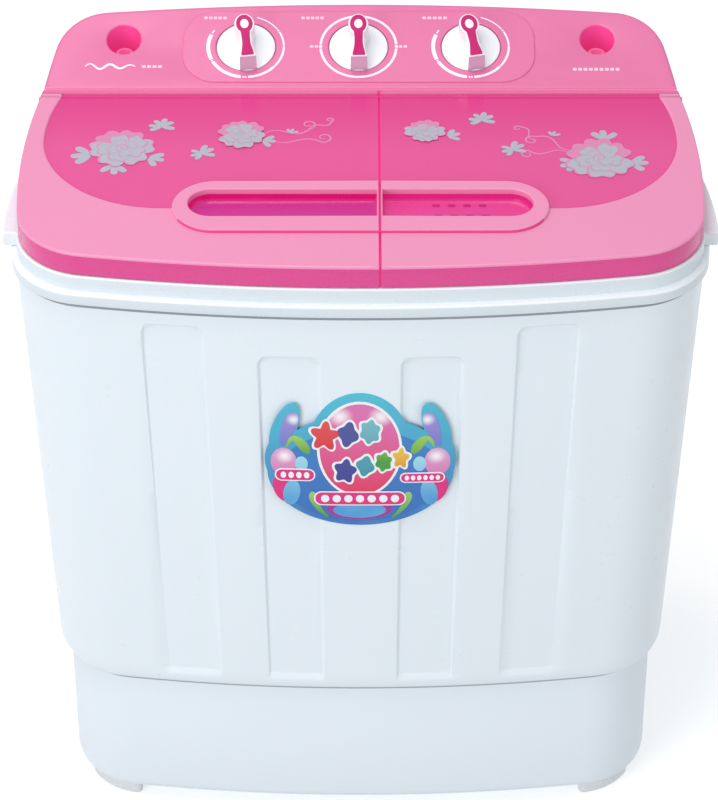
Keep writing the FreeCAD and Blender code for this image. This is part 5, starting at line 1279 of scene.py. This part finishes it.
def band_along(line):
    """The outline of a flat band from the (point, direction, half width) of each place along it."""
    left, right = [], []
    for here, along, half in line:
        side = Vector((-along.y, along.x)) * half
        left.append(tuple(here + side))
        right.append(tuple(here - side))
    return right + left[::-1]


def ribbon(points, width):
    """A flat band along points, narrowing to both ends."""
    vectors = [Vector(p) for p in points]
    last = len(vectors) - 1
    line = []
    for i, here in enumerate(vectors):
        along = (vectors[min(i + 1, last)] - vectors[max(i - 1, 0)]).normalized()
        line.append((here, along, width / 2 * (0.35 + 0.65 * math.sin(math.pi * i / last))))
    return band_along(line)


def curl(x, y, reach, rise, turns, direction, steps=40):
    """A tendril that runs out along direction and winds into a small spiral."""
    shares = even_shares(steps, 1)
    points = [(reach * t, rise * math.sin(math.pi * 2 * t)) for t in shares]
    end_x, end_y = points[-1]
    radius = reach * 0.16
    for t in shares[1:]:
        a, r = -math.pi / 2 + t * turns * 2 * math.pi, radius * (1 - 0.8 * t)
        points.append((end_x + r * math.cos(a), end_y + radius + r * math.sin(a)))
    return turned(points, x, y, direction)


def petal(x, y, length, width, direction, notch=0.12):
    """A broad petal from its root at x, y."""
    points = []
    for t in [math.pi * share for share in even_shares(32, 1)]:
        share = (1 - math.cos(t)) / 2
        v = width / 2 * math.sin(t) ** 0.8 * (0.55 + 0.45 * share)
        dent = math.exp(-((v / (width * 0.18)) ** 2)) * share**4
        points.append((length * (share - notch * dent), -v))
    points += [(u, -v) for u, v in reversed(points[1:-1])]
    return turned(points, x, y, direction)


PRINT_STEP = 0.012 * MM


class Print:
    """A print on a window, laid down shape by shape so that no two lie at the same height."""

    def __init__(self):
        self.light, self.dark, self.count = bmesh.new(), bmesh.new(), 0

    def add(self, outline, dark=False):
        base = PANE_TOP + self.count * PRINT_STEP
        add_slab(self.dark if dark else self.light, outline, [], base + 0.002 * MM, base + 0.010 * MM)
        self.count += 1

    def flower(self, x, y, size, turn):
        """A layered blossom: edged petals in three rounds, and a curled heart."""
        for count, share, twist in ((6, 1.0, 0), (5, 0.72, 28), (4, 0.45, 10)):
            for k in range(count):
                direction = turn + twist + 360 * k / count + random.uniform(-7, 7)
                length = size / 2 * share * random.uniform(0.9, 1.08)
                upper = share == 1.0 and math.sin(math.radians(direction)) > 0.2
                self.add(petal(x, y, length, length * 0.95, direction), True)
                self.add(petal(x, y, length * 0.95, length * 0.87, direction + 2), upper)
        fine = size * 0.012
        heart = [(x + fine * t * math.cos(t * 1.1), y + fine * t * math.sin(t * 1.1)) for t in range(1, 11)]
        self.add(ribbon(heart, size * 0.02), True)

    def leaves(self, x, y, size, turn):
        """Three leaves from one stalk."""
        reach = size * 0.88
        for direction in (turn - 34, turn + 12, turn + 50):
            root_x, root_y = turned([(reach * 0.06, 0)], x, y, direction)[0]
            self.add(petal(root_x, root_y, reach * 0.62, reach * 0.34, direction, 0))

    def tendril(self, x, y, reach, rise, turns, direction):
        self.add(ribbon(curl(x, y, reach, rise, turns, direction), 1.7 * MM), True)


LID_PRINTS = {
    "wash_lid": {
        "tendril": [(-84, 20, 42, 5, 1.2, 14), (-78, 14, 46, -4, 1.1, -6), (-44, 30, 22, 3, 1.1, 30)],
        "leaves": [
            (-228, -10, 30, 175), (-180, -14, 24, -30), (-208, -24, 26, -100), (-84, 12, 20, -20),
            (-172, 33, 22, 20), (-170, 33, 20, 160), (-136, -8, 22, 20), (-134, -8, 18, 190),
            (-60, 22, 13, 60),
        ],
        "flower": [(-202, 0, 62, 10), (-102, 21, 46, 40)],
    },
    "spin_lid": {
        "tendril": [(184, -2, 40, 5, 1.2, 150), (178, -8, 36, -4, 1.1, 172), (150, 12, 24, 3, 1.1, 120)],
        "leaves": [
            (228, -22, 26, -12), (182, -22, 24, 190), (208, 12, 26, 80), (74, 18, 20, 10),
            (103, 43, 22, 20), (105, 43, 20, 160), (128, -2, 22, 20), (130, -2, 18, 190),
            (164, 18, 13, 60),
        ],
        "flower": [(203, -15, 62, 30), (55, 25, 36, 0)],
    },
}


def build_window_prints():
    for body, art in LID_PRINTS.items():
        printed = Print()
        for x, y, reach, rise, turns, direction in art["tendril"]:
            printed.tendril(x * MM, y * MM, reach * MM, rise * MM, turns, direction)
        for x, y, size, turn in art["leaves"]:
            printed.leaves(x * MM, y * MM, size * MM, turn)
        for x, y, size, turn in art["flower"]:
            printed.flower(x * MM, y * MM, size * MM, turn)
        make_piece(body + "_print_light", printed.light, PRINT_SILVER, body)
        make_piece(body + "_print_line", printed.dark, PRINT_LINE, body)


def build_tray_studs():
    """The spin side's tray has rows of small dark studs on its floor."""
    bm = bmesh.new()
    for row, y in enumerate((TRAY_Y + 13 * MM, TRAY_Y - 2 * MM)):
        for k in range(4):
            stud = rounded_box((63 + k * 13 + row * 2) * MM, y, 3.2 * MM, 2 * MM, 1.2 * MM, 4)
            add_slab(bm, stud, [], TRAY_FLOOR - 0.2 * MM, TRAY_FLOOR + 0.15 * MM)
    make_piece("spin_lid_tray_studs", bm, STUD_PINK, "spin_lid")


def build_valve_spring():
    """The drain valve's spring, a coil of wire that stands in for the CAD node."""
    start, end = low("drain_valve_spring"), high("drain_valve_spring")
    wire_radius, turns, steps = 0.9 * MM, 7, 28
    radius, middle = (end.x - start.x) / 2 - wire_radius, (start + end) / 2
    flat = wire_radius * 2.1
    rise = (end.z - start.z - wire_radius * 2 - flat * 2) / (turns - 2)
    points, z = [], start.z + wire_radius
    for k in range(turns * steps + 1):
        a = 2 * math.pi * k / steps
        points.append((middle.x + radius * math.cos(a), middle.y + radius * math.sin(a), z))
        z += (rise if steps <= k < (turns - 1) * steps else flat) / steps
    bm = bmesh.new()
    add_tube(bm, points, wire_radius)
    spring = make_piece("drain_valve_coil", bm, METAL_STEEL, None, replaces="drain_valve_spring")
    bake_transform(spring)


# ---------------- badge on the front

BADGE_Z = 418 * MM


def add_badge_slab(bm, outline, low_height, top_height, top_round):
    """A thin shape drawn in x and height about the badge's centre, laid on the bowed front."""
    piece = bmesh.new()
    add_slab(piece, outline, [], low_height, top_height, top_round)
    for k in range(16):
        everything = [*piece.verts, *piece.edges, *piece.faces]
        cut = ((k - 8) * 10 * MM, 0, 0)
        bmesh.ops.bisect_plane(piece, geom=everything, plane_co=cut, plane_no=(1, 0, 0), dist=1e-7)
    for v in piece.verts:
        z = BADGE_Z + v.co.y
        v.co = Vector((v.co.x, front_surface(v.co.x, z) - v.co.z, z))
    mesh = bpy.data.meshes.new("badge_shape")
    piece.to_mesh(mesh)
    piece.free()
    bm.from_mesh(mesh)
    bpy.data.meshes.remove(mesh)


def lay(name, material, outlines, low_height, top_height, top_round=0.2, replaces=None):
    """One printed colour of the badge, between two heights off the case in millimetres."""
    bm = bmesh.new()
    for outline in outlines:
        add_badge_slab(bm, outline, low_height * MM, top_height * MM, top_round * MM)
    make_piece("badge_" + name, bm, material, "root", 30, replaces)


def oval(x, z, rx, rz, lean=0.0, steps=56):
    return ellipse(x * MM, z * MM, rx * MM, rz * MM, steps, lean)


def outline_union(shapes, steps=220):
    """The outer outline of overlapping ovals, as the furthest hit along each ray from the origin."""
    points = []
    for a in [2 * math.pi * share for share in even_shares(steps)]:
        dx, dz = math.cos(a), math.sin(a)
        best = 0.0
        for x, z, rx, rz in shapes:
            u0, v0, u1, v1 = -x / rx, -z / rz, dx / rx, dz / rz
            square, half, rest = u1 * u1 + v1 * v1, u0 * u1 + v0 * v1, u0 * u0 + v0 * v0 - 1
            inside_root = half * half - square * rest
            if inside_root > 0:
                best = max(best, (math.sqrt(inside_root) - half) / square)
        points.append((best * dx * MM, best * dz * MM))
    return points


# The badge's plate is all that these upright ovals cover: (x, height, half width, half height).
BADGE_BODY = [(0, -4, 79, 60), (-0.8, 22, 43, 58.5)]
for reach, z, rx, rz in ((64, 8, 17, 26), (45, 29, 10, 14.5)):
    BADGE_BODY += [(-reach, z, rx, rz), (reach, z, rx, rz)]


def bloom(x, z, rx, rz, count, depth, turn, grow=0.0, steps=96):
    """A rounded star with count arms, its outline moved out by grow, all in millimetres."""
    points = []
    for a in [2 * math.pi * share for share in even_shares(steps)]:
        swell = 1 + depth * math.cos(count * (a - math.radians(turn)))
        reach_x, reach_z = rx * swell + grow, rz * swell + grow
        points.append(((x + reach_x * math.cos(a)) * MM, (z + reach_z * math.sin(a)) * MM))
    return points


def comma(points, thin, thick, steps=24):
    """A curled leaf along a bend of three points, from a thin tip to a thick round end."""
    tip, pull, end = (Vector(p) for p in points)
    line = []
    for t in even_shares(steps, 1):
        along = ((pull - tip) * (1 - t) + (end - pull) * t).normalized()
        half = (thin + (thick - thin) * t) / 2 * math.sqrt(max(0.05, 1 - max(0.0, t * 4 - 3) ** 2))
        line.append((curve_point(tip, pull, end, t), along, half))
    return [(x * MM, z * MM) for x, z in band_along(line)]


def banner(x, z, half_length, half_height, grow=0.0):
    """A band with round ends, about x, z, in millimetres."""
    corner = (half_height + grow) * 0.9 * MM
    return rounded_box(x * MM, z * MM, (half_length + grow) * MM, (half_height + grow) * MM, corner, 8)


def build_badge():
    lay("plate", BADGE_EDGE, [outline_union(BADGE_BODY)], -0.2, 0.9, 0.35, "front_badge")
    both = (-1, 1)
    lay("ears", BADGE_EDGE, [oval(s * 64, 42, 10.5, 28, s * 18) for s in both], -0.2, 0.84, 0.3)
    lay("field", BADGE_BLUE, [oval(0, -9, 71, 50)], 0.8, 1.0, 0.05)
    drops = [petal(s * 66.5 * MM, 23 * MM, 38 * MM, 15 * MM, 90 + s * 17, 0) for s in both]
    lay("drops", BADGE_VIOLET, drops, 0.8, 1.15)
    lay("low_pearls", BADGE_MAGENTA, [oval(s * 66, -24, 8, 15, s * -16) for s in both], 0.8, 1.1)
    lay("pearls", BADGE_PEARL, [oval(s * 65, 6, 11, 15) for s in both], 0.8, 1.25)
    bubbles = [oval(s * 50, 4, 5.5, 8) for s in both] + [oval(s * 58.5, -28, 7.2, 14, s * 8) for s in both]
    lay("bubbles", BADGE_SKY, bubbles, 0.8, 1.3)
    leaves = [comma([(s * 62, 22), (s * 57, 44), (s * 44, 15)], 1.5, 11) for s in both]
    lay("leaves", BADGE_GREEN, leaves, 0.8, 1.2)
    stems = [comma([(s * 27, -55), (s * 40, -44), (s * 41, -27)], 2, 9) for s in both]
    lay("low_leaves", BADGE_LEAF, stems, 0.8, 1.15)
    lay("cup", BADGE_PURPLE, [oval(-0.8, -46, 28, 11.5)], 0.8, 1.1)
    lay("pool", BADGE_SKY, [oval(-0.8, -47, 22.5, 8.5)], 0.8, 1.3)
    lay("dome_edge", BADGE_WHITE, [oval(-0.8, 20, 36, 52)], 0.8, 1.35, 0.1)
    lay("dome", BADGE_PINK, [oval(-0.8, 20, 33.8, 49.5)], 0.8, 1.5, 0.3)

    stars = [
        (BADGE_RED, -30, 35, 10, 13, 5, 0.26, 84),
        (BADGE_NAVY, -10.5, 37, 8, 12, 4, 0.16, 76),
        (BADGE_TEAL, 8, 40, 8, 12, 6, 0.12, 80),
        (BADGE_NAVY, -13, -3, 8.4, 11.5, 5, 0.18, 80),
        (BADGE_TEAL, 4, 2.5, 7, 10, 4, 0.14, 76),
        (BADGE_GREEN, 19.5, 7, 6.6, 9.5, 6, 0.12, 80),
        (BADGE_GOLD, 34, 11, 6, 9.5, 5, 0.22, 84),
    ]
    for i, (_material, *star) in enumerate(stars):
        lay(f"star_rim_{i + 1}", BADGE_WHITE, [bloom(*star, grow=2.4)], 1.4, 1.7 + i * 0.01, 0.1)
    for i, (material, *star) in enumerate(stars):
        lay(f"star_{i + 1}", material, [bloom(*star)], 1.6, 2.0, 0.25)

    bands = ((-55.5, -8, 16, 5.6, 4), (52.5, -11, 18, 4.4, 6), (-0.4, -33.6, 38, 6.6, 7))
    lay("band_edges", BADGE_WHITE, [banner(*band[:4], 1.2) for band in bands], 1.3, 1.62, 0.1)
    lay("bands", BADGE_MAGENTA, [banner(*band[:4]) for band in bands], 1.5, 1.8, 0.15)
    dots = []
    for x, z, length, height, count in bands:
        pitch, tall = 2 * (length - height * 0.5) / count, height * 0.62
        for k in range(count):
            dots.append(oval(x + pitch * (k + 0.5 - count / 2), z, min(pitch * 0.36, tall), tall, 0, 24))
    lay("band_dots", BADGE_WHITE, dots, 1.7, 2.0)


# ---------------- stage, light and camera


def build_stage():
    material, _tree, bsdf = shader("floor_white")
    wire(bsdf, {"Base Color": (0.95, 0.95, 0.95), "Roughness": 0.9})
    wire(bsdf, {"Emission Color": (1, 1, 1), "Emission Strength": 0.35})
    mesh = bpy.data.meshes.new("floor")
    reach = 30
    corners = [(x * reach, y * reach, 0) for x, y in ((-1, -1), (1, -1), (1, 1), (-1, 1))]
    mesh.from_pydata(corners, [], [(0, 1, 2, 3)])
    mesh.materials.append(material)
    floor = link("floor", mesh)
    floor.visible_diffuse = False


def add_area(name, place, aim, size, power):
    light = bpy.data.lights.new(name, "AREA")
    light.shape = "RECTANGLE"
    light.size, light.size_y = size
    light.energy = power
    lamp = link(name, light)
    lamp.location = place
    lamp.rotation_euler = (Vector(aim) - Vector(place)).to_track_quat("-Z", "Y").to_euler()


def build_lights():
    """A soft white room with three lights; the camera sees plain white behind the machine."""
    world = bpy.data.worlds.new("studio")
    bpy.context.scene.world = world
    world.use_nodes = True
    tree = world.node_tree
    soft = node(tree, "Background", "Background", {"Color": (0.96, 0.98, 1.0), "Strength": 0.55})
    backdrop = node(tree, "Background", "Background", {"Color": (1, 1, 1)})
    seen = node(tree, "LightPath", "Is Camera Ray", {})
    both = node(tree, "MixShader", "Shader", {"Fac": seen, 1: soft, 2: backdrop})
    wire(tree.nodes["World Output"], {"Surface": both})
    centre = (0, 0, 0.35)
    add_area("top_light", (-0.5, -0.2, 2.6), centre, (1.8, 1.4), 24)
    add_area("front_light", (-2.0, -2.6, 1.3), centre, (1.8, 1.8), 40)
    add_area("right_light", (2.4, -1.6, 1.0), centre, (1.0, 1.6), 9)


def build_camera():
    data = bpy.data.cameras.new("camera")
    data.lens, data.sensor_width, data.clip_end = 151.94, 36, 100
    data.shift_x, data.shift_y = -0.0019, -0.0671
    camera = link("camera", data)
    camera.location = (0, -2.3879, 2.2290)
    camera.rotation_euler = (math.radians(90 - 37.253), 0, 0)
    bpy.context.scene.camera = camera


finish_cad_nodes()
build_case()
build_base()
build_feet()
build_deck()
build_side_grips()
build_lids()
build_bezels()
build_console()
build_knobs()
build_dial_prints()
build_window_prints()
build_tray_studs()
build_valve_spring()
build_badge()
build_stage()
build_lights()
build_camera()
bpy.context.scene.view_settings.view_transform = "Standard"
